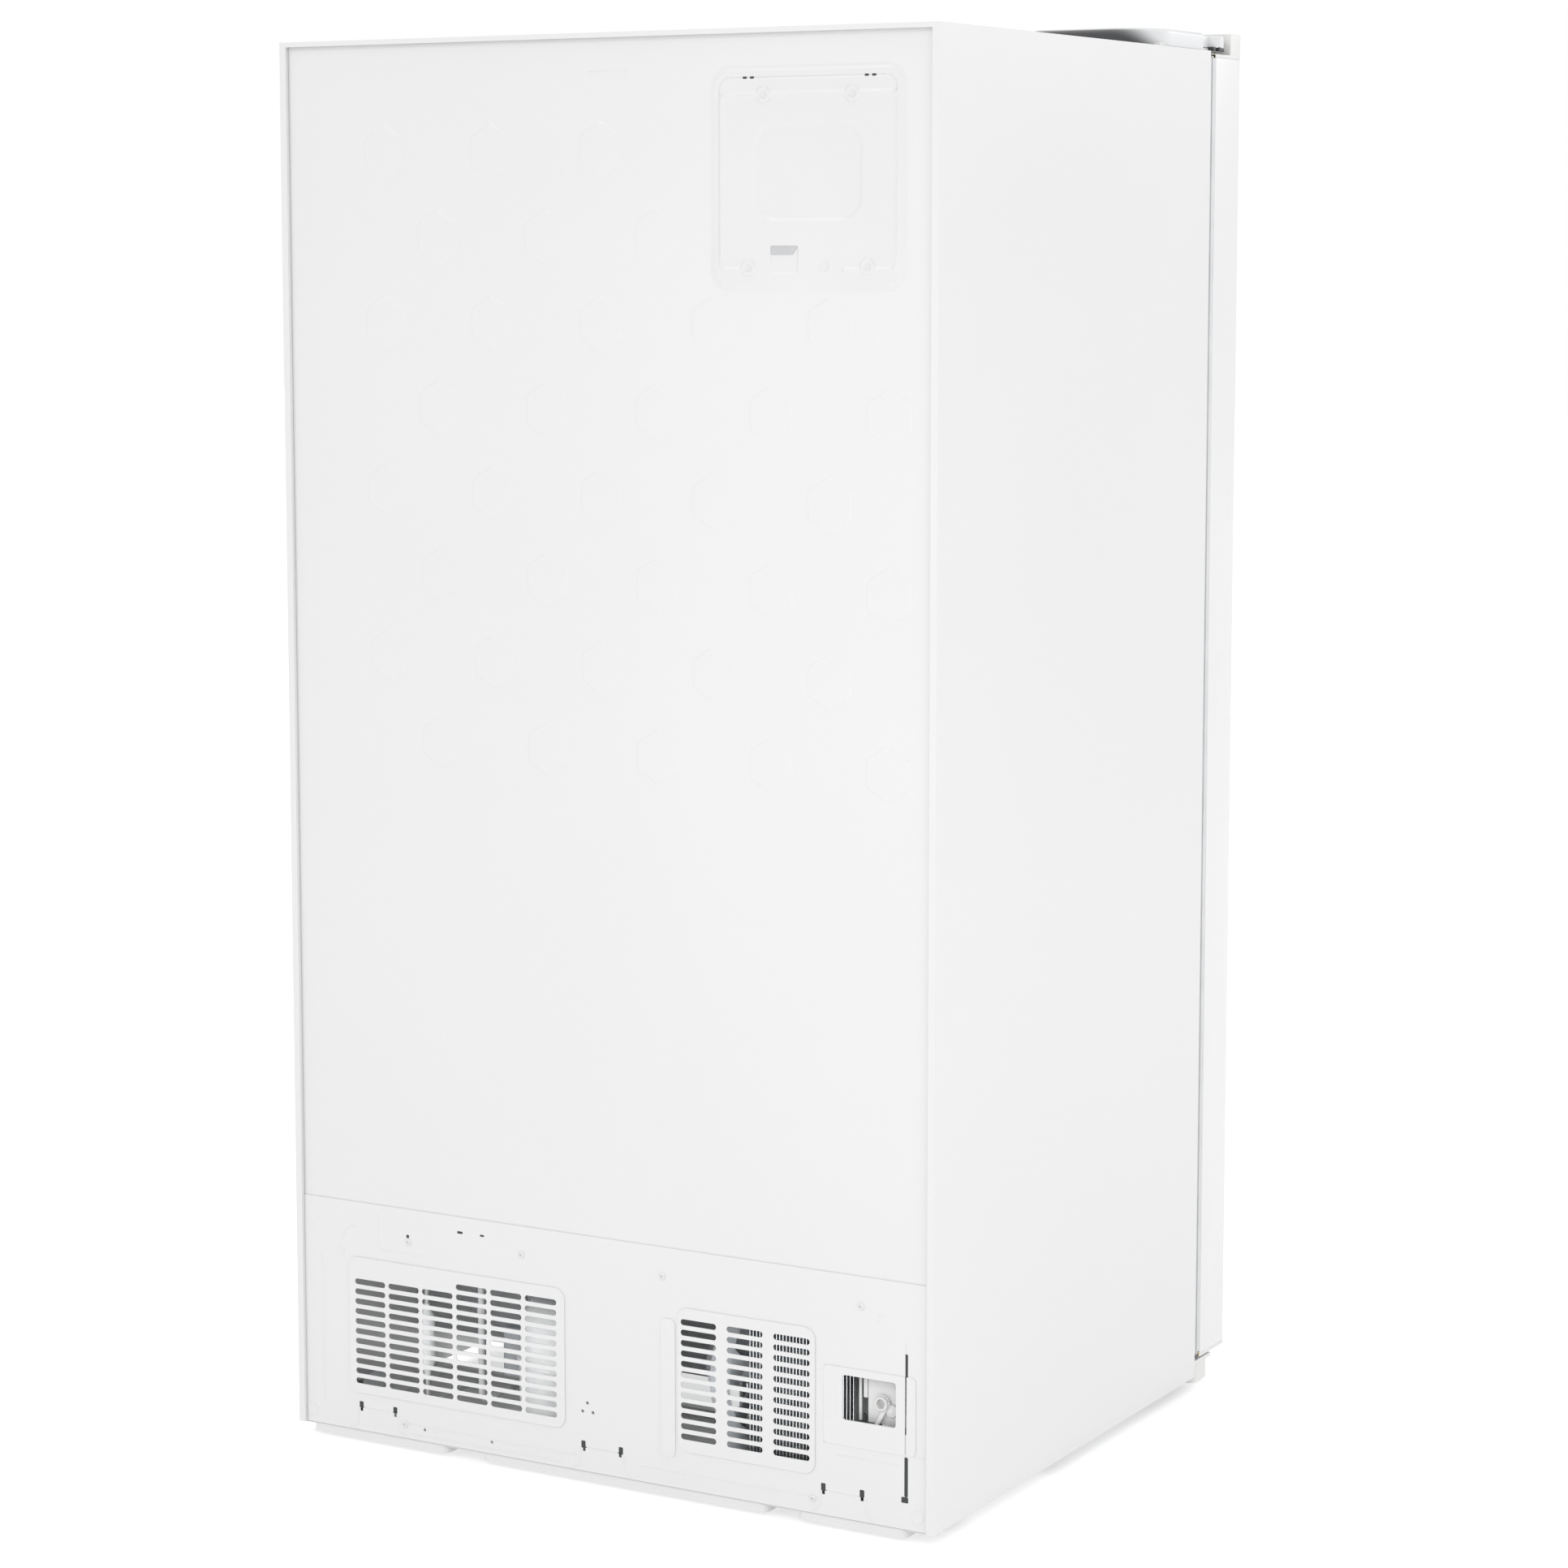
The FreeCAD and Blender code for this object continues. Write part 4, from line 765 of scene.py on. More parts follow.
    # vulcanised rubber of feet and mounts
    rubber: Finish = Finish("black_rubber", "#1d1e1f", "#292a2b", roughness=0.72, patch=20.0,
                            grain=0.9, grain_height=0.03)
    # soft PVC of the magnetic door seal
    seal: Finish = Finish("white_seal_vinyl", "#d5d7d8", "#dcdedf", roughness=0.55, patch=60.0,
                          grain=1.4, grain_height=0.02)
    # grey strip at the door gap, a shade darker than the enamel: its grey is painted shade of the
    # gap
    gap_shade_grey: Finish = Finish("painted_gap_shade_grey", "#c4c5c6", "#cccdce", roughness=0.6, patch=50.0,
                               grain=1.2, grain_height=0.02)
    # grey shade in a pressed line or under a folded lip
    shade: Finish = Finish("shaded_fold_grey", "#b4b5b6", "#bbbcbd", roughness=0.6, patch=30.0,
                           grain=1.0, grain_height=0.01)
    # rigid polyurethane foam, skinned against its mould
    foam: Finish = Finish("rigid_polyurethane_foam", "#dcc98c", "#cdb878", roughness=0.85,
                          patch=14.0, grain=1.2, grain_height=0.25)
    # solder mask with its tracks
    board: Finish = CircuitBoard("green_circuit_board", "#1f5a3a", "#5f8f4a", roughness=0.35,
                                 grain=0.6, grain_height=0.01, coat=0.3)
    # frosted diffuser over the lamps
    lamp: Finish = Finish("frosted_lamp_cover", "#fbfbf6", "#f4f6f8", roughness=0.6, patch=30.0,
                          grain=1.0, grain_height=0.02)
    # pale marks on the dispenser window
    mark: Finish = Finish("pale_printed_mark", "#cfd8de", "#dbe3e8", roughness=0.4, patch=8.0,
                          grain=0.8, grain_height=0.004)


PAINT = Palette()


# ---------------------------------------------------------------- the case and its back


@dataclass
class Corner:
    """Low and high corners of a CAD node, in millimetres."""

    low: Array
    high: Array

    @classmethod
    def of(cls, node: str) -> "Corner":
        """Box of the named node."""
        low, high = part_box(node)
        return cls(np.array(low) / MM, np.array(high) / MM)

    def span(self, axis: int) -> Range:
        """Low and high value along an axis."""
        return float(self.low[axis]), float(self.high[axis])


def bead(path: Array, width: float, height: float, up: Array) -> tuple[Array, ...]:
    """Low half-round ridge on a sheet, as an ellipse carried along a path."""
    return sweep(path, circle((0, 0), 1.0, 10) * [width / 2, height], up)


@dataclass
class BackPanel:
    """Pressed steel back with its staggered hexagons and the opening of the board bay."""

    hexagon_radius: float = 33.0
    column_step: float = 154.5
    row_step: float = 101.9
    first_x: float = 304.0
    top_row: float = 1616.0
    rows: int = 8
    columns: int = 5
    slope: float = 3.6

    def hexagon(self, x: float, z: float, face: float, rise: float) -> tuple[Array, ...]:
        """Shallow six-sided pad whose edge rises in a smooth S.

        Each ring is a hexagon with arc corners: the arc's centre lies on the line to the corner,
        and the arc spans sixty degrees. The level follows the smooth step of the ring's inset.

        Args:
            x: Centre.
            z: Centre.
            face: The sheet's y.
            rise: Height of the pad.

        Returns:
            The points and the index tables of the faces.
        """
        corner = 7.0
        reach = self.hexagon_radius * math.cos(math.pi / 6)
        middle = np.radians(30 + 60 * np.arange(6))[:, None]
        turn = middle + np.linspace(-math.pi / 6, math.pi / 6, 4)[None]
        share = np.array([0.0, 0.12, 0.3, 0.5, 0.7, 0.88, 1.0])
        rings = []
        for part in share:
            far = self.slope * part
            arm = (reach + 1.5 - corner - far * 0.5) / math.cos(math.pi / 6)
            round_part = corner - far * 0.5
            flat = np.stack([x + arm * np.cos(middle) + round_part * np.cos(turn),
                             z + arm * np.sin(middle) + round_part * np.sin(turn)], -1)
            level = face - 0.15 + (rise + 0.15) * float(smooth_step(np.array(part), 0.0, 1.0))
            rings.append(placed(flat.reshape(-1, 2), level, Facing.BACK))
        return rings_shell(np.stack(rings))

    def build(self) -> None:
        """Make the panel and its pressings."""
        box = Corner.of("rear_panel")
        cover = Corner.of("board_cover")
        surface = Surface()
        back, face, crest = float(box.low[1]), float(box.high[1]) - 0.8, float(box.high[1])
        x, z = box.span(0), box.span(2)
        hole_x = (cover.low[0] + 4, cover.high[0] - 4)
        hole_z = (cover.low[2] + 4, cover.high[2] - 4)
        section = [(0.0, back), (0.0, face - 0.3), (0.3, face)]
        outer = [placed(rounded_rectangle((x[0] + far, x[1] - far), (z[0] + far, z[1] - far), 1.5),
                        level, Facing.BACK) for far, level in section]
        inner = [placed(rounded_rectangle(hole_x, hole_z, 20.0), level, Facing.BACK)
                 for level in (face, back)]
        surface.add(*rings_shell(np.stack(outer + inner), closed=True))
        for row in range(self.rows):
            for column in range(self.columns):
                centre_x = self.first_x - self.column_step * (column + 0.5 * (row % 2))
                centre_z = self.top_row - self.row_step * row
                if centre_z > cover.low[2] - 38 and centre_x < cover.high[0] + 58:
                    continue
                surface.add(*self.hexagon(centre_x, centre_z, face, crest - face))
        mark = np.array([(10.0, face, 1705.0), (-16.0, face, 1705.3), (-42.0, face, 1705.0)])
        surface.add(*bead(mark, 3.0, 0.5, np.array([0, 1.0, 0])))
        make_piece("pressed_back_panel", surface, PAINT.enamel.material(), "cabinet",
                   ("rear_panel",))


@dataclass
class BoardCover:
    """Pressed cover over the control board: a cushion edge, a bead with bosses, and a dish."""

    shoulder: float = 9.0
    corner: float = 25.0
    step: float = 1.25
    dish: tuple[Range, Range] = ((-359.0, -213.0), (1530.0, 1644.0))
    ridge: tuple[Range, Range] = ((-401.0, -172.0), (1476.0, 1675.0))

    def height(self, x: Array, z: Array) -> Array:
        """Share of the rise at each place.

        It is the smooth step of the distance from the outline, less a narrow groove near the top
        edge, plus a ridge along a rounded rectangle that stops short at the bottom, plus ring
        bosses with a dimple, less the dish, a round dimple and the grip scoop.

        Args:
            x: Grid of x.
            z: Grid of z.

        Returns:
            Heights in millimetres above the panel.
        """
        box = Corner.of("board_cover")
        outline = (box.span(0), box.span(2))
        edge = -rectangle_distance(x, z, outline, self.corner)
        top = float(box.high[1] - box.low[1])
        level = (top - 2.0) * smooth_step(edge, 0.0, self.shoulder)
        groove = np.exp(-((edge - 13.0) / 1.3) ** 2) * smooth_step(z, 1478.0, 1500.0)
        level -= 1.3 * groove
        inside = rectangle_distance(x, z, self.ridge, 8.0)
        present = 1 - ((z < 1495) & (x > -333) & (x < -204)).astype(float)
        level += 1.9 * np.exp(-(inside / 2.9) ** 2) * present
        for boss_x, boss_z in ((-228, 1675), (-344, 1674), (-208, 1478), (-364, 1480)):
            far = np.hypot(x - boss_x, z - boss_z)
            level = np.maximum(level, (top - 0.05) * (1 - smooth_step(far, 8.0, 11.5)))
            level -= 2.2 * (1 - smooth_step(far, 2.6, 6.0)) * (far < 8)
        dished = rectangle_distance(x, z, self.dish, 30.0)
        level -= 2.8 * (1 - smooth_step(dished, -9.0, 0.0))
        spot = np.hypot(x + 306, z - 1481)
        level -= 2.4 * (1 - smooth_step(spot, 4.0, 9.0))
        scoop = rectangle_distance(x, z, ((-274.0, -235.0), (1471.0, 1505.0)), 4.0)
        slope = smooth_step(z, 1466.0, 1500.0)
        level -= 3.2 * (1 - smooth_step(scoop, -3.0, 0.0)) * (0.25 + 0.75 * slope)
        return np.clip(level, 0.05, top)

    def build(self) -> None:
        """Make the cover, the two snap slots at its top edge and its fold lines; the dark slots and
        the grey fold lines are painted shade.
        """
        box = Corner.of("board_cover")
        x, z = filled_rectangle(box.span(0), box.span(2), self.corner, self.step)
        face = box.low[1] + self.height(x, z)
        surface = Surface().add(*sheet_shell(x, z, face, float(box.low[1]) - 0.4))
        make_piece("pressed_board_cover", surface, PAINT.cover_enamel.material(), "cabinet",
                   ("board_cover",), sharp=60.0)
        # dark blocks in the groove: painted shade inside the snap slots
        slots = Surface()
        level = float(box.high[1])
        for low in (-215.0, -374.0):
            for start in (low, low + 9.4):
                slots.add(*block((start, start + 5.2), (level - 3.7, level - 2.3),
                                 (1693.0, 1695.8), 1.2, 0.2, Facing.BACK))
        make_piece("board_cover_snap_slot_shade", slots, PAINT.dark_plastic.material(), "cabinet")
        # grey bead along the groove and grey lip at the grip scoop: painted shade of the folds
        folds = Surface()
        deep = level - 3.25
        sides = (box.high[0] - 13.0, box.low[0] + 13.0)
        route = bent_path(np.array([(sides[0], deep, 1522.0), (sides[0], deep, 1694.6),
                                    (sides[1], deep, 1694.6), (sides[1], deep, 1494.0)]), 18.0, 8)
        folds.add(*bead(route, 0.9, 0.3, np.array([0, 1.0, 0])))
        lip = np.array([(-235.5, 1493.5), (-235.5, 1504.5), (-273.5, 1504.5), (-265.0, 1493.5)])
        folds.add(*slab(lip, edge_profile(level - 4.8, level - 3.1, 0.2, 0.2, 2), Facing.BACK))
        make_piece("board_cover_fold_shade", folds, PAINT.shade.material(), "cabinet")


class LowerCoverDetails:
    """Beads, ribs, hook tabs, holes and screws on the slotted lower cover."""

    def lines(self, face: float) -> Surface:
        """Narrow pressed lines: the corner outline, the foot line and the valve plate's edges.

        Args:
            face: The cover's y.

        Returns:
            Their shells.
        """
        up = np.array([0, 1.0, 0])
        surface = Surface()
        routes = [
            ([(386, 263), (384, 272), (377, 278), (367, 280)], 2.2, 0.5),
            ([(332, 299), (332, 258), (328, 254.5), (262, 254)], 2.2, 0.5),
            ([(-309, 104), (-309, 199)], 2.4, 0.6),
            ([(-309, 105), (-445, 105)], 2.4, 0.6),
            ([(-325, 92), (-408, 92)], 2.4, 0.6),
            ([(300, 36), (64, 34.5), (40, 35)], 2.0, 0.5),
            ([(-55, 35.5), (-290, 36)], 2.0, 0.5),
            ([(62, 23), (283, 23)], 2.0, 0.5),
        ]
        for side in (335.0, 1.0, -334.0):
            for sign in (-1.0, 1.0):
                edge = side + 31.0 * sign
                routes.append(([(edge, 44), (edge, 27), (edge + 4 * sign, 21.5),
                                (edge + 11 * sign, 19.5)], 2.2, 0.6))
        for route, width, height in routes:
            path = bent_path(np.array([(x, face, z) for x, z in route], float), 5.0, 4)
            surface.add(*bead(path, width, height, up))
        for x, z, radius in ((437.0, 33.0, 9.0), (-433.0, 34.0, 9.0), (-386.0, 263.0, 6.5),
                             (390.0, 246.0, 6.0)):
            profile = [(radius, -0.4), (radius - 0.4, 0.25), (radius - 1.4, 0.6),
                       (radius - 2.6, 0.2), (0.0, 0.05)]
            surface.add(*turned(profile, (x, face, z), "y"))
        return surface

    def holes(self, face: float) -> Surface:
        """Small punched holes, drawn as dark plugs flush with the sheet: painted shade inside the
        holes.

        Args:
            face: The cover's y.

        Returns:
            Their shells.
        """
        surface = Surface()
        for x, z, width, height in ((208, 291, 8, 3), (175, 291, 6, 2.4), (287, 276, 4, 4),
                                    (361, 49.5, 6, 8), (309, 49.5, 6, 8), (28, 49.5, 6, 9),
                                    (-26, 49.5, 6, 9), (-308, 50, 6, 9), (-360, 50, 6, 9),
                                    (-418.5, 79, 4.6, 47), (-416.8, 51.5, 9.0, 7),
                                    (-418.8, 211, 3.2, 30),
                                    (-418.6, 134, 4.6, 8)):
            surface.add(*block((x - width / 2, x + width / 2), (face - 0.7, face + 0.12),
                               (z - height / 2, z + height / 2), 1.0, 0.04, Facing.BACK))
        return surface

    def backing(self, face: float) -> Surface:
        """Light strips that stop the sheet's seams and folded slits a little below its face.

        Args:
            face: The cover's y.

        Returns:
            Their shells.
        """
        surface = Surface()
        strips = [((-453.5, 453.5), (308.0, 314.0), 1.1), ((415.0, 423.0), (46.0, 242.0), 0.15),
                  ((-422.0, -413.0), (103.0, 130.0), 0.1), ((-422.0, -413.0), (226.0, 242.0), 0.2)]
        for side in (335.0, 1.0, -334.0):
            strips.append(((side - 22.5, side + 22.5), (38.0, 54.0), 0.25))
        for x, z, deep in strips:
            surface.add(*block(x, (face - deep - 0.5, face - deep), z, 0.6, 0.1, Facing.BACK))
        for x in ((-454.9, -446.2), (446.2, 454.9)):
            surface.add(*block(x, (face - 0.5, 446.9), (16.5, 1746.0), 0.2, 0.2))
        return surface

    def build(self) -> None:
        """Make the pressed lines, the backing strips and the holes."""
        box = Corner.of("machine_cover")
        face = float(box.high[1]) - 1.4
        make_piece("lower_cover_backing_strips", self.backing(face), PAINT.enamel.material(),
                   "cabinet")
        make_piece("lower_cover_pressings", self.lines(face), PAINT.enamel.material(), "cabinet")
        # dark plugs: painted shade in the punched holes and slits
        make_piece("lower_cover_hole_shade_plugs", self.holes(face), PAINT.dark_plastic.material(),
                   "cabinet")
        Screws().build()


@dataclass
class Screws:
    """Pan-head screws with a cross recess, in the CAD screws' places."""

    head: float = 4.4
    rise: float = 2.3
    arm: float = 2.4
    width: float = 0.55
    places: tuple[Range, ...] = ((294, 34), (-294, 34), (117, 275), (-86, 275), (-358, 275),
                                 (286, 269))

    def shell(self, x: float, y: float, z: float) -> tuple[Array, ...]:
        """Domed head whose top sinks into a cross.

        The cross outline is polar: the arm's length over the larger of cosine and sine, or the
        arm's half width over the smaller, whichever is less.

        Args:
            x: Centre.
            y: Underside.
            z: Centre.

        Returns:
            The points and the index tables of the faces.
        """
        turn = np.linspace(0, 2 * math.pi, 48, endpoint=False) + 0.02
        big = np.maximum(np.abs(np.cos(turn)), np.abs(np.sin(turn)))
        small = np.minimum(np.abs(np.cos(turn)), np.abs(np.sin(turn)))
        cross = np.minimum(self.arm / big, self.width / np.maximum(small, 1e-3))
        ones = np.ones_like(turn)
        rows = [(self.head * ones, 0.0), (self.head * ones, 0.5), (self.head * 0.95 * ones, 1.1),
                (self.head * 0.8 * ones, 1.8), (self.head * 0.64 * ones, self.rise),
                (cross, self.rise), (cross * 0.7, self.rise - 1.2)]
        rings = [np.stack([x + radius * np.cos(turn), y + level * ones, z + radius * np.sin(turn)],
                          -1) for radius, level in rows]
        return rings_shell(np.stack(rings))

    def build(self) -> None:
        """Make every screw head as one piece."""
        box = Corner.of("rear_screws")
        surface = Surface()
        for x, z in self.places:
            surface.add(*self.shell(x, float(box.low[1]), z))
        make_piece("rear_pan_head_screws", surface, PAINT.enamel.material(), "cabinet",
                   ("rear_screws",))


@dataclass
class HingeCover:
    """Moulded cover over an upper hinge, with a nose that reaches over the pin."""

    side: str
    sign: float
    wall_corner: float = 62.0
    nose: float = 19.0
    pivot: Range = (436.0, -336.5)

    def outline(self) -> Array:
        """Plan of the body: square at the doors, a wide arc at the outer wall corner.

        Returns:
            Counter-clockwise outline for the +X side, mirrored by the caller.
        """
        outer, inner_edge, front, wall = 454.5, 286.0, -279.0, -119.0
        arc = np.linspace(0, QUARTER, 14)
        big = self.wall_corner
        outer_corner = np.stack([outer - big + big * np.cos(arc),
                                 wall - big + big * np.sin(arc)], -1)
        small = 16.0
        inner_corner = np.stack([inner_edge + small - small * np.sin(arc[::2]),
                                 wall - small + small * np.cos(arc[::2])], -1)
        front_edge = np.array([(inner_edge, front + 2), (inner_edge + 2, front), (outer - 2, front),
                               (outer, front + 2)])
        return np.concatenate([outer_corner, inner_corner, front_edge])

    def build(self) -> None:
        """Make the body, the nose, and the dark blocks under it that are painted shade of the
        slots.
        """
        box = Corner.of(f"hinge_cover_{self.side}")
        low, high = box.span(2)
        surface = Surface()
        body = slab(self.outline(), edge_profile(low + 0.3, high, 0.3, 5.0, 7), Facing.UP)
        pivot_x, pivot_y = self.pivot
        turn = np.radians(np.linspace(133.2, 428.4, 40))
        disc = np.stack([pivot_x + self.nose * np.cos(turn),
                         pivot_y + self.nose * np.sin(turn)], -1)
        nose = np.concatenate([disc, [(pivot_x + 7.0, -277.0), (pivot_x - 13.0, -277.0)]])
        cap = slab(nose, edge_profile(low + 5.0, high - 1.2, 0.4, 3.0, 5), Facing.UP)
        for points, *faces in (body, cap):
            points = points * [self.sign, 1, 1]
            surface.add(points, *faces)
        make_piece(f"hinge_cover_moulding_{self.side}", surface, PAINT.hinge_cover.material(),
                   "cabinet", (f"hinge_cover_{self.side}",), sharp=40.0)
        # three dark blocks under the nose: painted shade of the slots between the nose and the door
        ribs = Surface()
        for start, width, reach in ((-352.5, 10.5, 14.5), (-339.5, 11.5, 18.6),
                                    (-325.5, 9.5, 15.5)):
            x = sorted((self.sign * (pivot_x - 12), self.sign * (pivot_x + reach)))
            ribs.add(*block(tuple(x), (start, start + width), (low + 0.6, low + 5.6), 1.2, 0.3))
        make_piece(f"hinge_cover_slot_shade_{self.side}", ribs, PAINT.dark_plastic.material(), "cabinet")


# ---------------------------------------------------------------- doors


@dataclass
class DoorPanel:
    """One door's steel front with its end caps, handle, gasket and bins."""

    name: str
    bins: tuple[Range, ...]
    hole: tuple[Range, Range] | None = None
    front_edge: float = 3.0

    @property
    def body(self) -> str:
        """CAD body of the door."""
        return f"{self.name}_door"

    def skin(self) -> None:
        """Steel front: flat face, vertical edges rounded more than the ends, and a niche if any.

        The rings run from the back face round the edge to the front, and, where there is a
        dispenser, on from the front face down into its pocket.
        """
        box = Corner.of(f"{self.body}_skin")
        x, y = box.span(0), box.span(1)
        z = (float(box.low[2]) + 5.0, 1743.0)
        turn = np.linspace(0, QUARTER, 7)
        rows = [(1.0, 1.0, y[1]), (0.0, 0.0, y[1] - 1.0)]
        for t in turn:
            soft = self.front_edge * (1 - math.cos(t))
            rows.append((soft, 0.4 * (1 - math.cos(t)), y[0] + self.front_edge * (1 - math.sin(t))))
        rings = [placed(rounded_rectangle((x[0] + dx, x[1] - dx), (z[0] + dz, z[1] - dz), 0.3, 5),
                        level, Facing.BACK) for dx, dz, level in rows]
        if self.hole:
            (hx0, hx1), (hz0, hz1) = self.hole
            for far, level in ((0.0, y[0]), (0.6, y[0] + 0.6), (0.6, y[0] + 66.0)):
                rim = rounded_rectangle((hx0 + far, hx1 - far), (hz0 + far, hz1 - far), 4.0, 5)
                rings.append(placed(rim, level, Facing.BACK))
        surface = Surface().add(*rings_shell(np.stack(rings)))
        make_piece(f"{self.body}_steel_front", surface, PAINT.door_enamel.material(), self.body,
                   (f"{self.body}_skin",))

    def caps(self) -> None:
        """Moulded caps: the lower one flat, the upper one with the lip that hides the hinge."""
        box = Corner.of(f"{self.body}_skin")
        x, y = box.span(0), box.span(1)
        low, top = float(box.low[2]), float(box.high[2])
        ledge = 1747.6
        lip_back = y[0] + 31.9
        side = np.array([(y[0] + 0.1, 1743.0), (y[0] + 0.1, top - 2.0), (y[0] + 0.6, top - 0.7),
                         (y[0] + 2.0, top), (lip_back - 1.4, top), (lip_back - 0.4, top - 0.4),
                         (lip_back, top - 1.4), (lip_back, ledge + 1.0), (lip_back + 1.0, ledge),
                         (y[1] - 1.0, ledge), (y[1], ledge - 1.0), (y[1], 1743.0)])[::-1]
        upper = slab(side, edge_profile(x[0] + 0.1, x[1] - 0.1, 0.8, 0.8, 5), Facing.SIDE)
        surface = Surface().add(*upper)
        plan_x = (x[0] + 0.1, x[1] - 0.1)
        surface.add(*block(plan_x, (y[0] + 0.2, y[1]), (low, low + 5.0), 2.0, 0.8))
        make_piece(f"{self.body}_end_caps", surface, PAINT.white_abs.material(), self.body,
                   sharp=40.0)

    def handle(self) -> None:
        """Bar of flattened section that bends back into the door at both ends."""
        box = Corner.of(f"{self.body}_handle")
        tip, root = float(box.low[1]) + 9.0, float(box.high[1])
        low, high = float(box.low[2]) + 16.0, float(box.high[2]) - 16.0
        x = (box.low[0] + box.high[0]) / 2
        bend = 24.0
        path = bent_path(np.array([(x, root - 1.5, low), (x, tip, low), (x, tip, high),
                                   (x, root - 1.5, high)]), bend, 14)
        line = np.linspace(0, 1, 40)[:, None]
        start, end = path[15], path[16]
        path = np.concatenate([path[:16], start + (end - start) * line[1:-1], path[16:]])
        section = rounded_rectangle((-8.5, 8.5), (-11.5, 11.5), 7.0, 7)
        surface = Surface().add(*sweep(path, section, np.array([1.0, 0, 0]), end_round=False))
        make_piece(f"{self.body}_bar_handle", surface, PAINT.brushed.material(), self.body,
                   (f"{self.body}_handle",))
        feet = Surface()
        for level in (low, high):
            outline = rounded_rectangle((x - 11.8, x + 11.8), (level - 13.0, level + 13.0), 9.0)
            feet.add(*slab(outline, edge_profile(root - 4.0, root + 0.2, 1.6, 0.2), Facing.BACK))
        make_piece(f"{self.body}_handle_feet", feet, PAINT.dark_plastic.material(), self.body)

    def gasket(self) -> None:
        """Magnetic seal: a foot, a folded bellows and the magnet pocket, in one closed section."""
        box = Corner.of(f"{self.body}_gasket")
        y = box.span(1)
        foot = y[0]
        reach = y[1] - y[0]
        section = np.array([(2.0, foot), (0.6, foot + 0.8), (0.0, foot + 2.2), (2.2, foot + 3.4),
                            (2.8, foot + 5.0), (1.2, foot + 6.6), (0.6, foot + reach - 2.0),
                            (1.6, foot + reach), (15.6, foot + reach), (17.0, foot + reach - 1.6),
                            (17.2, foot + reach - 3.4), (14.2, foot + 6.0), (15.8, foot + 4.4),
                            (17.4, foot + 2.6), (17.0, foot + 0.8), (15.6, foot)])
        surface = Surface().add(*frame_loop(box.span(0), box.span(2), 12.0, section, Facing.BACK))
        skirt = np.array([(0.0, foot), (0.0, foot + 4.0), (2.0, foot + 8.0), (6.0, foot + 8.4),
                          (13.0, foot + 3.0), (13.0, foot)])
        skin = Corner.of(f"{self.body}_skin")
        surface.add(*frame_loop((float(skin.low[0]) + 5.0, float(skin.high[0]) - 5.0),
                                (float(skin.low[2]) + 36.0, 1742.0), 14.0, skirt, Facing.BACK))
        make_piece(f"{self.body}_magnetic_seal", surface, PAINT.seal.material(), self.body,
                   (f"{self.body}_gasket",))

    def strips(self) -> None:
        """Strips on the door and on the case that close the gap at the hinge side, grey as painted
        shade of the gap.

        The door strip lies within 36 mm of the pin, and the case strip outside that circle. Its
        front slants, which leaves room for the side of the door at its widest swing.
        """
        box = Corner.of(f"{self.body}_skin")
        sign = -1 if self.name == "freezer" else 1
        back = box.span(1)[1]
        z = (float(box.low[2]) + 8.0, 1742.0)
        on_door = Surface()
        for x, y in (((449.8, 455.4), (back - 0.6, -306.2)), ((449.8, 452.2), (-307.0, -304.4))):
            reach = (min(sign * x[0], sign * x[1]), max(sign * x[0], sign * x[1]))
            on_door.add(*block(reach, y, z, 0.3, 0.3))
        plan = np.array([(451.2, -303.6), (455.5, -301.6), (455.5, -298.3), (451.2, -298.3)])
        on_case = Surface().add(*slab((plan * [sign, 1])[::sign], edge_profile(*z, 0.3, 0.3),
                                      Facing.UP))
        # grey strips: painted shade of the hinge-side gap
        make_piece(f"{self.body}_gap_shade_strip_on_door", on_door, PAINT.gap_shade_grey.material(),
                   self.body)
        make_piece(f"{self.body}_gap_shade_strip_on_case", on_case, PAINT.gap_shade_grey.material(),
                   "cabinet")

    def racks(self) -> None:
        """Clear bins with a white band round the top of each."""
        box = Corner.of(f"{self.body}_bins")
        x, y = box.span(0), box.span(1)
        clear, bands = Surface(), Surface()
        for low, tall in self.bins:
            clear.add(*tub((x[0] + 0.4, x[1] - 0.4), (y[0] + 0.4, y[1] - 2.6),
                           (low, low + tall - 1), 2.6, 12.0, 4.0, 1.0))
            section = np.array([(0.0, low + tall - 16), (0.0, low + tall - 0.5), (0.8, low + tall),
                                (4.6, low + tall), (4.6, low + tall - 1.2), (1.6, low + tall - 2.0),
                                (1.6, low + tall - 16)])
            bands.add(*frame_loop((x[0] + 0.2, x[1] - 0.2), (y[0] + 0.2, y[1] - 0.2), 12.4, section,
                                  Facing.UP))
        make_piece(f"{self.body}_clear_bins", clear, PAINT.clear.material(), self.body,
                   (f"{self.body}_bins",))
        make_piece(f"{self.body}_bin_bands", bands, PAINT.white_abs.material(), self.body)

    def build(self) -> None:
        """Make every piece of the door."""
        self.skin()
        self.caps()
        self.handle()
        self.gasket()
        self.strips()
        self.racks()


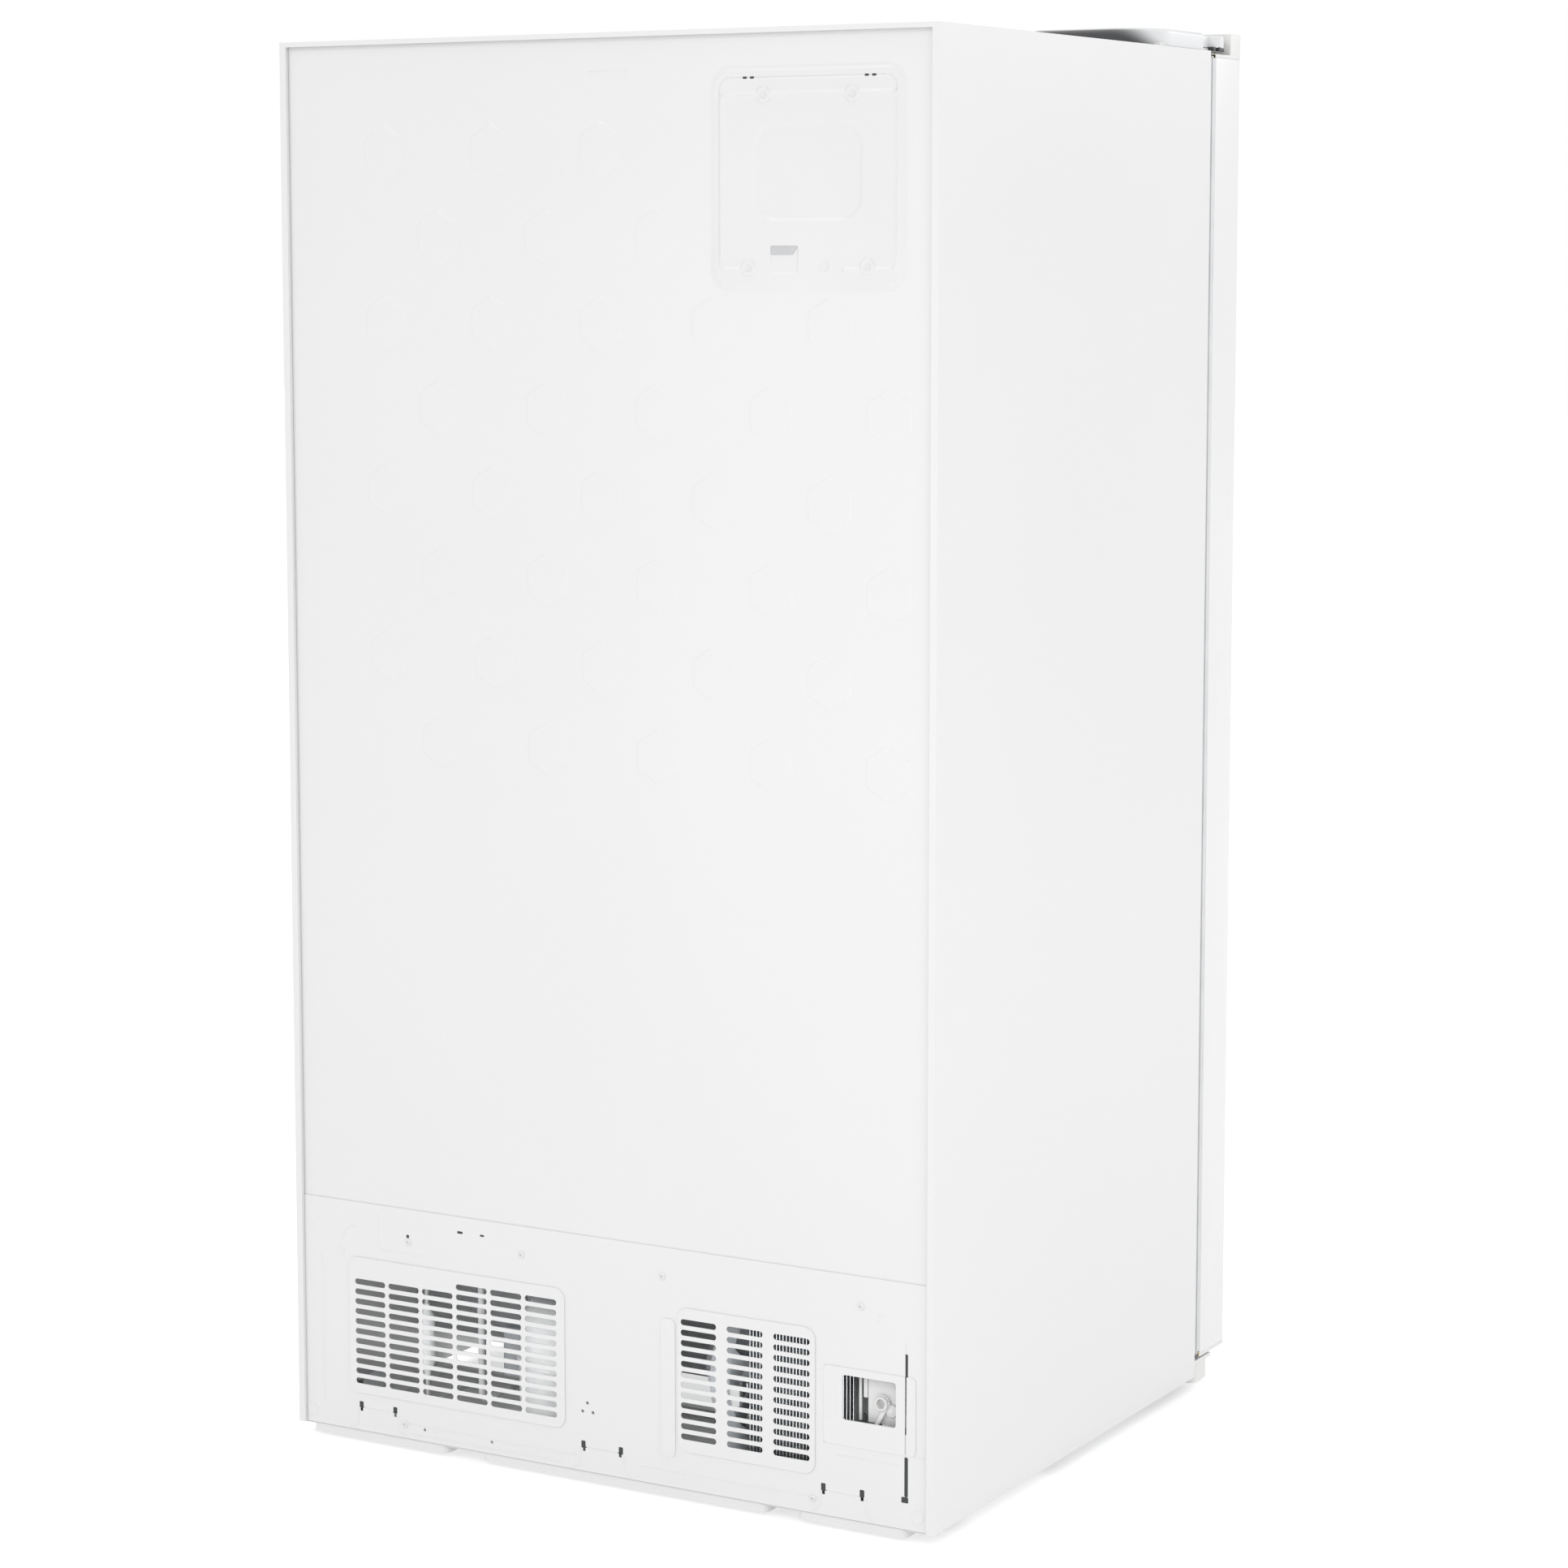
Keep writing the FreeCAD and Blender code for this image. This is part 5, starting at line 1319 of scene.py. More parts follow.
@dataclass
class Dispenser:
    """Ice and water niche: bezel, dark window with its marks, spout, paddle and drip tray."""

    wall: float = 3.0

    def housing(self) -> None:
        """One closed moulding: pocket outside, bezel, and the room inside it."""
        box = Corner.of("dispenser_housing")
        x, z = box.span(0), box.span(2)
        face, back = box.span(1)
        room_x, room_z = (x[0] + 8, x[1] - 8), (z[0] + 8, z[1] - 150)
        out_x = (room_x[0] - self.wall, room_x[1] + self.wall)
        out_z = (room_z[0] - self.wall, room_z[1] + self.wall)
        rows = [(out_x, out_z, 9.0, back), (out_x, out_z, 9.0, face + 2.0),
                (x, z, 10.0, face + 1.9), ((x[0] + 0.3, x[1] - 0.3), (z[0] + 0.3, z[1] - 0.3), 9.7,
                                           face + 0.6),
                ((x[0] + 1.2, x[1] - 1.2), (z[0] + 1.2, z[1] - 1.2), 9.0, face),
                ((room_x[0] - 1.5, room_x[1] + 1.5), (room_z[0] - 1.5, room_z[1] + 1.5), 7.5, face),
                (room_x, room_z, 6.0, face + 1.5), (room_x, room_z, 6.0, back - self.wall - 8.0),
                ((room_x[0] + 3, room_x[1] - 3), (room_z[0] + 3, room_z[1] - 3), 7.0,
                 back - self.wall - 2.0),
                ((room_x[0] + 9, room_x[1] - 9), (room_z[0] + 9, room_z[1] - 9), 8.0,
                 back - self.wall)]
        rings = [placed(rounded_rectangle(u, v, radius), level, Facing.BACK)
                 for u, v, radius, level in rows]
        surface = Surface().add(*rings_shell(np.stack(rings)))
        centre = (x[0] + x[1]) / 2
        spout = [(24.0, -22.0), (24.0, 0.0), (17.0, 0.0), (17.0, -20.0), (18.5, -23.5),
                 (22.5, -23.5)]
        turn = np.linspace(0, 2 * math.pi, 40, endpoint=False)
        rings = np.stack([np.stack([centre + r * np.cos(turn), face + 36 + r * np.sin(turn),
                                    np.full_like(turn, room_z[1] + level)], -1)
                          for r, level in spout])
        surface.add(*rings_shell(rings, closed=True))
        make_piece("dispenser_moulding", surface, PAINT.dark_plastic.material(), "freezer_door",
                   ("dispenser_housing",))
        window = Surface()
        window.add(*block((x[0] + 5, x[1] - 5), (face - 0.0, face + 1.2),
                          (room_z[1] + 10, z[1] - 6), 7.0, 0.5, Facing.BACK))
        make_piece("dispenser_display_window", window, PAINT.gloss_black.material(),
                   "freezer_door")
        marks = Surface()
        level = (face - 0.15, face + 0.3)
        base = room_z[1] + 34
        for index in range(5):
            mark_x = centre + (index - 2) * 33.0
            marks.add(*turned([(0.0, 0.2), (3.6, 0.2), (3.6, 0.0), (2.6, 0.0), (2.6, 0.1),
                               (0.0, 0.1)], (mark_x, face - 0.16, base), "y", 24))
            marks.add(*block((mark_x - 7, mark_x + 7), level, (base - 12, base - 10.6), 0.6, 0.1,
                             Facing.BACK))
        for row in range(2):
            for index in range(3):
                left = centre - 62 + index * 44
                low = base + 34 + row * 26
                marks.add(*block((left, left + 24 - 6 * row), level, (low, low + 1.6), 0.7, 0.1,
                                 Facing.BACK))
        make_piece("dispenser_symbols", marks, PAINT.mark.material(), "freezer_door")

    def paddle(self) -> None:
        """Cradle plate that curves forward at its lower end, under a round knuckle."""
        box = Corner.of("dispenser_paddle")
        x, y, z = box.span(0), box.span(1), box.span(2)
        hang = (y[0] + y[1]) / 2
        t = np.linspace(0, 1, 16)
        bow = 1.6 * np.sin(t * math.pi)
        path = np.stack([np.full_like(t, (x[0] + x[1]) / 2), hang - bow + 0.6, z[1] - 6 - (
            z[1] - z[0] - 7) * t], -1)
        section = rounded_rectangle((-(x[1] - x[0]) / 2, (x[1] - x[0]) / 2), (-1.6, 1.6), 1.5, 5)
        surface = Surface().add(*sweep(path, section, np.array([0, 1.0, 0]), end_round=False))
        knuckle = [(0.0, x[0]), (4.2, x[0]), (5.0, x[0] + 0.8), (5.0, x[1] - 0.8), (4.2, x[1]),
                   (0.0, x[1])]
        surface.add(*turned(knuckle, (0, hang, z[1] - 5), "x"))
        for offset in (-16.0, 0.0, 16.0):
            centre = (x[0] + x[1]) / 2 + offset
            surface.add(*block((centre - 1, centre + 1), (hang - 3.4, hang), (z[0] + 14, z[0] + 84),
                               0.9, 0.4))
        make_piece("dispenser_cradle", surface, PAINT.grey_plastic.material(), "dispenser_paddle",
                   ("dispenser_paddle",))

    def tray(self) -> None:
        """Shallow tray with a slatted grate over it."""
        box = Corner.of("drip_tray")
        x, y, z = box.span(0), box.span(1), box.span(2)
        surface = Surface().add(*tub(x, y, z, 1.6, 8.0, 1.5, 0.6))
        for index in range(11):
            centre = x[0] + 14 + index * (x[1] - x[0] - 28) / 10
            surface.add(*block((centre - 2.2, centre + 2.2), (y[0] + 5, y[1] - 5),
                               (z[1] - 3.2, z[1] - 1.0), 2.0, 0.8))
        for level in (y[0] + 16, y[1] - 16):
            surface.add(*block((x[0] + 6, x[1] - 6), (level - 1.6, level + 1.6),
                               (z[1] - 4.6, z[1] - 2.2), 1.2, 0.6))
        make_piece("drip_tray_with_grate", surface, PAINT.grey_plastic.material(), "drip_tray",
                   ("drip_tray",))

    def build(self) -> None:
        """Make every piece of the dispenser."""
        self.housing()
        self.paddle()
        self.tray()


# ---------------------------------------------------------------- inside the compartments


@dataclass
class ColdInside:
    """Glass shelves in their rims, drawers, ice bucket, lamps, ducts and the water filter."""

    shelf_thick: float = 12.0
    levels: tuple = (("freezer", (620.0, 880.0, 1120.0, 1346.0)),
                     ("fridge", (585.0, 830.0, 1070.0, 1320.0)))

    def shelves(self) -> None:
        """Each shelf is a glass plate in a moulded rim."""
        for name, levels in self.levels:
            box = Corner.of(f"{name}_shelves")
            x, y = box.span(0), box.span(1)
            rims, panes = Surface(), Surface()
            for level in levels:
                high = level + self.shelf_thick
                section = np.array([(0.6, level), (0.0, level + 0.6), (0.0, high - 1.2),
                                    (1.2, high), (12.6, high), (14.0, high - 1.0),
                                    (14.0, level + 4.0), (11.0, level + 3.0), (4.0, level)])
                rims.add(*frame_loop(x, y, 7.0, section, Facing.UP))
                panes.add(*block((x[0] + 10, x[1] - 10), (y[0] + 10, y[1] - 10),
                                 (high - 6.0, high - 2.0), 4.0, 0.8))
            make_piece(f"{name}_shelf_rims", rims, PAINT.white_abs.material(), "cabinet")
            make_piece(f"{name}_shelf_panes", panes, PAINT.glass.material(), "cabinet",
                       (f"{name}_shelves",))

    def drawer(self, node: str) -> None:
        """Clear drawer with a full-width grip along the top of its front.

        Args:
            node: CAD node and body of the drawer.
        """
        box = Corner.of(node)
        x, y, z = box.span(0), box.span(1), box.span(2)
        front = y[0] + 12.0
        surface = Surface().add(*tub(x, (front, y[1]), z, 3.0, 14.0, 3.0, 2.0))
        make_piece(f"{node}_clear_box", surface, PAINT.clear.material(), node,
                   (node,))
        trim = Surface()
        turn = np.linspace(-QUARTER, QUARTER, 9)
        nose = np.stack([front - 5.0 - 6.4 * np.cos(turn), z[1] - 14.0 + 7.5 * np.sin(turn)], -1)
        root = np.array([(front + 1.5, z[1] - 6.0), (front + 1.5, z[1] - 22.0)])
        side = np.concatenate([nose, root])[::-1]
        trim.add(*slab(side, edge_profile(x[0] + 8, x[1] - 8, 1.5, 1.5), Facing.SIDE))
        make_piece(f"{node}_grip", trim, PAINT.white_abs.material(), node,
                   sharp=40.0)

    def lamps(self) -> None:
        """Frosted lamp covers under the ceiling and a row of duct louvres on the back wall."""
        lamps, ducts = Surface(), Surface()
        for x in ((-330.0, -160.0), (70.0, 290.0)):
            lamps.add(*block(x, (-190.0, -120.0), (1693.5, 1701.2), 14.0, 4.0))
        wall = 389.7
        ducts.add(*block((139.0, 239.0), (wall - 7.0, wall + 0.5), (620.0, 1560.0), 16.0, 4.0,
                         Facing.BACK))
        slots = Surface()
        for level in (690.0, 930.0, 1170.0, 1420.0):
            for row in range(5):
                low = level + row * 9.0
                slots.add(*block((154.0, 224.0), (wall - 8.0, wall - 4.0), (low, low + 4.0), 1.9,
                                 0.5, Facing.BACK))
        make_piece("ceiling_lamp_covers", lamps, PAINT.lamp.material(), "cabinet")
        make_piece("fridge_air_duct", ducts, PAINT.white_abs.material(), "cabinet")
        make_piece("fridge_duct_slots", slots, PAINT.grey_plastic.material(), "cabinet")

    def filter(self) -> None:
        """Cartridge with a fluted grip and a turning bar across its end."""
        box = Corner.of("water_filter")
        x, y, z = box.span(0), box.span(1), box.span(2)
        centre = ((x[0] + x[1]) / 2, 0.0, (z[0] + z[1]) / 2)
        outer = (x[1] - x[0]) / 2
        start = y[0] + 22.0
        body = [(0.0, start), (outer - 2, start), (outer, start + 2), (outer, start + 26),
                (outer - 1.2, start + 27), (outer - 1.2, start + 30), (outer, start + 31),
                (outer, y[1] - 4), (outer - 4, y[1]), (0.0, y[1])]
        surface = Surface().add(*turned(body, centre, "y", 48))
        turn = np.linspace(0, 2 * math.pi, 96, endpoint=False)
        flute = 1.0 * np.cos(turn * 16)
        rows = [(outer - 7.5, start + 0.5), (outer - 6.0, start - 6), (outer - 6.0, start - 12),
                (outer - 8.0, start - 14.5)]
        rings = np.stack([np.stack([centre[0] + (r + flute) * np.cos(turn),
                                    np.full_like(turn, level),
                                    centre[2] + (r + flute) * np.sin(turn)], -1)
                          for r, level in rows])
        surface.add(*rings_shell(rings))
        surface.add(*block((centre[0] - 18, centre[0] + 18), (y[0], y[0] + 9),
                           (centre[2] - 4, centre[2] + 4), 3.5, 2.0, Facing.BACK))
        make_piece("water_filter_cartridge", surface, PAINT.white_abs.material(), "water_filter",
                   ("water_filter",))

    def build(self) -> None:
        """Make every piece inside the compartments."""
        self.shelves()
        for node in ("lower_crisper", "upper_crisper", "freezer_drawer", "ice_bucket"):
            self.drawer(node)
        self.lamps()
        self.filter()


# ---------------------------------------------------------------- machine compartment


@dataclass
class Compressor:
    """Welded pot on its foot plate, with the weld seam, terminal cover and stubs."""

    centre: Range = (115.0, 317.5)
    low: float = 35.0
    seam: float = 118.0
    radius: float = 76.0

    def pot(self) -> tuple[Array, ...]:
        """Pot turned about its axis, slightly oval, with a lapped seam round its middle.

        Returns:
            The points and the index tables of the faces.
        """
        turn = np.linspace(0, 2 * math.pi, 64, endpoint=False)
        t = np.linspace(0, QUARTER, 9)
        r = self.radius
        lower = [(r - 34 + 34 * math.sin(a), self.low + 30 * (1 - math.cos(a))) for a in t]
        seam = [(r, self.seam - 7), (r + 2.6, self.seam - 5.5), (r + 3, self.seam),
                (r + 2.4, self.seam + 1.2), (r - 1.6, self.seam + 2.0)]
        upper = [(r - 1.6 - 34 * (1 - math.cos(a)), 195 - 38 * (1 - math.sin(a))) for a in t]
        rows = [(0.5, self.low)] + lower + seam + upper + [(20.0, 196.2), (0.5, 196.8)]
        rings = np.stack([np.stack([self.centre[0] + radius * np.cos(turn),
                                    self.centre[1] + radius * 0.97 * np.sin(turn),
                                    np.full_like(turn, level)], -1) for radius, level in rows])
        return rings_shell(rings)

    def build(self) -> None:
        """Make the compressor and its rubber mounts."""
        x, y = self.centre
        surface = Surface().add(*self.pot())
        surface.add(*block((x - 100, x + 100), (y - 60, y + 60), (33.2, 36.2), 18.0, 1.0))
        for stub_x, stub_y in ((x - 30, y + 30), (x - 40, y - 30)):
            surface.add(*turned([(0, 150), (4, 150), (4, 206), (3, 209.5), (0, 209.5)],
                                (stub_x, stub_y, 0), "z", 16))
        make_piece("compressor_pot", surface, PAINT.pot_paint.material(), "cabinet",
                   ("compressor",))
        box = Surface()
        box.add(*block((x + 62, x + 98), (y - 28, y + 28), (83, 147), 6.0, 3.0))
        box.add(*block((x + 97, x + 99.5), (y - 22, y + 22), (92, 138), 4.0, 1.0, Facing.SIDE))
        make_piece("compressor_terminal_cover", box, PAINT.grey_plastic.material(), "cabinet")
        mounts = Surface()
        for mount_x in (x - 82, x + 82):
            for mount_y in (y - 44, y + 44):
                profile = [(0, 15.2), (11, 15.2), (11, 19), (8.5, 21), (8.5, 23.5), (11, 25),
                           (11, 30), (8, 33), (0, 33)]
                mounts.add(*turned(profile, (mount_x, mount_y, 0), "z", 24))
        make_piece("compressor_rubber_mounts", mounts, PAINT.rubber.material(), "cabinet",
                   ("compressor_mounts",))


@dataclass
class Condenser:
    """Serpentine tube through close plate fins."""

    fin_step: float = 4.6

    def build(self) -> None:
        """Make fins, tubes and return bends."""
        box = Corner.of("condenser")
        x, y, z = box.span(0), box.span(1), box.span(2)
        fins = Surface()
        for place in np.arange(x[0] + 3.0, x[1] - 2.0, self.fin_step):
            fins.add(*block((place - 0.3, place + 0.3), (y[0] + 1, y[1] - 1), (z[0] + 1, z[1] - 1),
                            2.0, 0.1, Facing.SIDE))
        make_piece("condenser_fins", fins, PAINT.fin_metal.material(), "cabinet",
                   ("condenser",))
        tubes = Surface()
        for column in range(3):
            tube_y = y[0] + 25 + column * 48
            for row in range(6):
                level = z[0] + 14 + row * 27
                tubes.add(*tube([(x[0] + 0.5, tube_y, level), (x[1] - 0.5, tube_y, level)], 4.0))
            for row in range(5):
                level = z[0] + 14 + row * 27
                end = x[0] + 6 if row % 2 else x[1] - 6
                out = -5.5 if row % 2 else 5.5
                tubes.add(*tube([(end, tube_y, level), (end + out, tube_y, level),
                                 (end + out, tube_y, level + 27), (end, tube_y, level + 27)], 3.9,
                                5.0))
        make_piece("condenser_tubes", tubes, PAINT.coil_paint.material(), "cabinet")


@dataclass
class Fan:
    """Moulded rotor: a rounded hub and cambered blades."""

    node: str
    axis: int
    hub: float
    tip: float
    depth: float
    count: int = 5

    def blade(self, turn: float) -> tuple[Array, ...]:
        """Twisted blade as a closed sheet.

        Across the chord the angle runs over a span that narrows to the tip, the axial place
        falls along the chord and bows with a sine, and the sheet is 1.6 mm thick.

        Args:
            turn: Angle of the blade.

        Returns:
            The points and the index tables of the faces.
        """
        radius = np.linspace(self.hub - 1.5, self.tip, 9)[:, None]
        chord = np.linspace(-0.5, 0.5, 9)[None]
        share = (radius - self.hub) / (self.tip - self.hub)
        span = 0.95 - 0.2 * share + 0.12 * np.sin(share * math.pi)
        angle = turn + chord * span + 0.22 * share ** 2
        along = self.depth * (0.5 - chord * (0.86 - 0.18 * share)) + 1.2 * np.cos(chord * math.pi)
        along = np.clip(along, 1.0, self.depth - 1.0)
        layers = []
        for offset in (-0.8, 0.8):
            flat = np.stack([along + offset, radius * np.cos(angle), radius * np.sin(angle)], -1)
            layers.append(flat)
        top, bottom = layers
        rows, columns = top.shape[:2]
        size = rows * columns
        index = np.arange(size).reshape(rows, columns)
        upper = np.stack([index[:-1, :-1], index[1:, :-1], index[1:, 1:], index[:-1, 1:]],
                         -1).reshape(-1, 4)
        lower = upper[:, ::-1] + size
        rim = np.concatenate([index[:-1, 0], index[-1, :-1], index[:0:-1, -1], index[0, :0:-1]])
        near = np.roll(rim, -1)
        wall = np.stack([near, rim, rim + size, near + size], -1)
        points = np.concatenate([top.reshape(-1, 3), bottom.reshape(-1, 3)])
        return points, upper, lower, wall

    def build(self, finish: Finish) -> None:
        """Make the rotor about its CAD node's axis.

        Args:
            finish: Its material.
        """
        box = Corner.of(self.node)
        centre = (box.low + box.high) / 2
        start = float(box.low[self.axis])
        surface = Surface()
        order = [(self.axis + offset) % 3 for offset in range(3)]
        shells = [self.blade(2 * math.pi * index / self.count) for index in range(self.count)]
        bore = 3.1
        d = self.depth
        hub = np.array([(bore, 0.2), (self.hub - 2, 0.2), (self.hub, 2.2), (self.hub, d - 1.5),
                        (self.hub - 1.5, d - 0.2), (bore + 3, d - 0.2), (bore + 2.5, d - 1.0),
                        (bore, d - 1.0)])
        turn = np.linspace(0, 2 * math.pi, 40, endpoint=False)
        rings = np.stack([np.stack([np.full_like(turn, level), r * np.cos(turn), r * np.sin(turn)],
                                   -1) for r, level in hub])
        shells.append(rings_shell(rings, closed=True))
        for points, *faces in shells:
            moved = np.zeros_like(points.reshape(-1, 3))
            for source, target in enumerate(order):
                moved[:, target] = points.reshape(-1, 3)[:, source]
            place = centre.copy()
            place[self.axis] = start
            surface.add(moved + place, *faces)
        make_piece(f"{self.node}_moulded_rotor", surface, finish.material(), self.node,
                   (self.node,))


@dataclass
class MachineRoom:
    """Everything behind the slotted cover that the CAD nodes only block out."""

    def valve(self) -> None:
        """Water valve: body with its plate, coil, threaded inlet and its strap."""
        y = Corner.of("water_valve").span(1)
        inlet_x, level, rear = -382.0, 160.0, y[1]
        surface = Surface()
        surface.add(*block((inlet_x - 20, inlet_x + 20), (rear - 66, rear - 37),
                           (level - 20, level + 16), 5.0, 2.0, Facing.BACK))
        thread = [(0.0, -40.0), (8.6, -40.0)]
        for index in range(9):
            start = -30.0 + index * 3.0
            thread += [(8.6, start), (9.9, start + 0.9), (8.6, start + 1.8)]
        thread += [(8.6, -1.2), (7.6, -0.1), (6.2, -0.1), (6.0, -1.0), (6.0, -20.0), (0.0, -20.0)]
        surface.add(*turned(thread, (inlet_x, rear, level), "y", 32))
        surface.add(*block((inlet_x - 28, inlet_x + 34), (rear - 69.5, rear - 67), (level - 60,
                                                                                   level + 40),
                           3.0, 0.8, Facing.BACK))
        make_piece("water_valve_body", surface, PAINT.white_abs.material(), "cabinet",
                   ("water_valve",))
        coil = Surface()
        profile = [(0, 14), (11, 14), (11, 17), (13, 17.4), (13, 40), (11, 40.6), (11, 44.5),
                   (5, 45), (0, 45)]
        coil.add(*turned(profile, (inlet_x, rear - 52, level), "z", 28))
        make_piece("water_valve_coil", coil, PAINT.dark_plastic.material(), "cabinet")
        strap = Surface()
        path = np.array([(-373.0, rear - 4.0, 130.0), (-382.0, rear - 4.0, 146.0),
                         (-391.0, rear - 4.0, 163.0)])
        strap.add(*sweep(path, rounded_rectangle((-2.6, 2.6), (-0.7, 0.7), 0.6, 3),
                         np.array([0, 1.0, 0]), end_round=False))
        strap.add(*block((-407.5, -361.7), (rear - 9.0, rear - 7.6), (134.0, 192.0), 1.0, 0.4,
                         Facing.BACK))
        strap.add(*block((-361.0, -355.8), (rear - 9.0, rear - 7.0), (163.0, 192.0), 0.8, 0.4,
                         Facing.BACK))
        strap.add(*block((-352.0, -348.6), (rear - 12.0, rear - 9.0), (134.0, 192.0), 0.8, 0.4,
                         Facing.BACK))
        strap.add(*turned([(0, -3), (8.0, -3), (8.0, -0.4), (7.2, 0.6), (5.2, 0.8), (3.2, 1.8),
                           (0, 2.0)], (-393.5, rear - 5.5, 152.0), "y", 32))
        make_piece("water_valve_strap_and_plate", strap, PAINT.enamel.material(), "cabinet")

    def lines(self) -> None:
        """Refrigerant lines with their soldered joints, and the drier with its crimped ends."""
        rear = 447.5
        y = rear - 62
        deck_under = 319.8
        surface = Surface()
        surface.add(*tube([(85, rear - 100, 208), (85, rear - 100, 275), (217, y, 275),
                           (217, y, 60), (217, rear - 160, 60), (217, rear - 160, deck_under)],
                          4.0, 14.0, 14))
        surface.add(*tube([(300, y, 175), (300, y, 250), (340, y - 60, 250),
                           (340, y - 60, deck_under)], 2.5, 12.0, 12))
        surface.add(*tube([(300, y, 80), (300, y, 45), (300, rear - 190, 45),
                           (300, rear - 190, deck_under)], 2.5, 12.0, 12))
        for place_x, place_y, low in ((217, y, 170), (340, y - 60, 270), (300, rear - 190, 200)):
            radius = 5.2 if place_x == 217 else 3.6
            surface.add(*turned([(radius - 1, low), (radius, low + 1), (radius, low + 13),
                                 (radius - 1, low + 14)], (place_x, place_y, 0), "z", 16))
        make_piece("refrigerant_lines", surface, PAINT.copper.material(), "cabinet",
                   ("refrigerant_tubes",))
        drier = Surface()
        profile = [(0, 80), (3.4, 80), (4, 84), (5, 88), (8.4, 95), (10, 99), (10, 156),
                   (8.4, 160), (5, 167), (4, 171), (3.4, 175), (0, 175)]
        drier.add(*turned(profile, (300, y, 0), "z", 28))
        make_piece("filter_drier_shell", drier, PAINT.pot_paint.material(), "cabinet",
                   ("filter_drier",))

    def build(self) -> None:
        """Make the machine compartment's pieces."""
        Compressor().build()
        Condenser().build()
        Fan("condenser_fan", 0, 17.0, 71.5, 20.0).build(PAINT.grey_plastic)
        Fan("evaporator_fan", 1, 12.0, 47.5, 18.0).build(PAINT.grey_plastic)
        self.valve()
        self.lines()


@dataclass
class RunningGear:
    """Moulded rollers and threaded levelling feet."""

    def roller(self, node: str) -> None:
        """Tyre with a crowned tread, webs and a hub, turned about its axle.

        Args:
            node: CAD node and body of the roller.
        """
        box = Corner.of(node)
        x = box.span(0)
        centre = (0.0, (box.low[1] + box.high[1]) / 2, (box.low[2] + box.high[2]) / 2)
        r = float(box.high[2] - box.low[2]) / 2
        a, b = x[0] + 0.2, x[1] - 0.2
        section = np.array([(4.1, a), (8.0, a), (8.6, a + 0.6), (8.6, a + 5.0), (16.8, a + 5.0),
                            (17.6, a + 0.8), (r - 1.8, a + 0.3), (r - 0.3, a + 2.2),
                            (r, (a + b) / 2), (r - 0.3, b - 2.2), (r - 1.8, b - 0.3),
                            (17.6, b - 0.8), (16.8, b - 5.0), (8.6, b - 5.0), (8.6, b - 0.6),
                            (8.0, b), (4.1, b)])
        turn = np.linspace(0, 2 * math.pi, 56, endpoint=False)
        rings = np.stack([np.stack([np.full_like(turn, level), centre[1] + radius * np.cos(turn),
                                    centre[2] + radius * np.sin(turn)], -1)
                          for radius, level in section])
        surface = Surface().add(*rings_shell(rings, closed=True))
        make_piece(f"{node}_wheel", surface, PAINT.dark_plastic.material(), node,
                   (node,))

    def leg(self, node: str) -> None:
        """Threaded stem with a hexagon nut and a broad foot.

        Args:
            node: CAD node and body of the leg.
        """
        box = Corner.of(node)
        x, y = (box.low[0] + box.high[0]) / 2, (box.low[1] + box.high[1]) / 2
        top = float(box.high[2])
        thread = [(0.0, 7.0), (5.2, 7.0)]
        for place in np.arange(23.0, top - 2.5, 1.75):
            thread += [(5.2, place), (5.95, place + 0.85)]
        thread += [(5.2, top - 1.5), (4.4, top), (0.0, top)]
        surface = Surface().add(*turned(thread, (x, y, 0), "z", 28))
        foot = [(0.0, 0.0), (14.6, 0.0), (15.9, 1.2), (15.9, 3.0), (14.0, 5.2), (9.0, 7.6),
                (0.0, 8.0)]
        surface.add(*turned(foot, (x, y, 0), "z", 40))
        nut = circle((x, y), 10.9, 6)
        surface.add(*slab(nut, edge_profile(14.2, 21.8, 1.2, 1.2, 3), Facing.UP))
        make_piece(f"{node}_threaded_foot", surface, PAINT.zinc.material(), node,
                   (node,))

    def build(self) -> None:
        """Make rollers and feet."""
        for side in ("left", "right"):
            self.roller(f"front_roller_{side}")
            self.roller(f"rear_roller_{side}")
            self.leg(f"levelling_leg_{side}")


# ---------------------------------------------------------------- finishes of the CAD nodes


def dress_nodes() -> None:
    """Give every carried-over CAD node the finish that its slot names, or for three nodes a finish
    of their own.
    """
    by_slot = {
        "white_enamel": PAINT.enamel, "board_cover_enamel": PAINT.cover_enamel,
        "door_enamel": PAINT.door_enamel, "galvanised_steel": PAINT.galvanised,
        "compressor_black": PAINT.pot_paint, "coil_black": PAINT.fin_metal,
        "coil_aluminium": PAINT.fin_metal, "copper_line": PAINT.copper,
        "white_liner": PAINT.liner, "clear_plastic": PAINT.clear, "shelf_glass": PAINT.glass,
        "rigid_foam": PAINT.foam, "seal_rubber": PAINT.seal, "mount_rubber": PAINT.rubber,
        "handle_metal": PAINT.brushed, "grey_plastic": PAINT.grey_plastic,
        "dark_plastic": PAINT.dark_plastic, "white_plastic": PAINT.white_abs,
        "board_green": PAINT.board, "zinc_steel": PAINT.zinc,
    }
    slot_of = {row["node"]: row["material_slot"] for row in frame["record"]["subparts"]}
    for name, node in frame["nodes"].items():
        special = {"base_pan": PAINT.enamel, "door_hinges": PAINT.white_abs,
                   "fan_shroud": PAINT.grey_plastic}
        finish = special.get(name, by_slot[slot_of[name]])
        if not node.data.materials:
            node.data.materials.append(None)
        for index in range(len(node.material_slots)):
            node.material_slots[index].material = finish.material()
        log.info("node %s: %s", name, finish.name)


# ---------------------------------------------------------------- studio


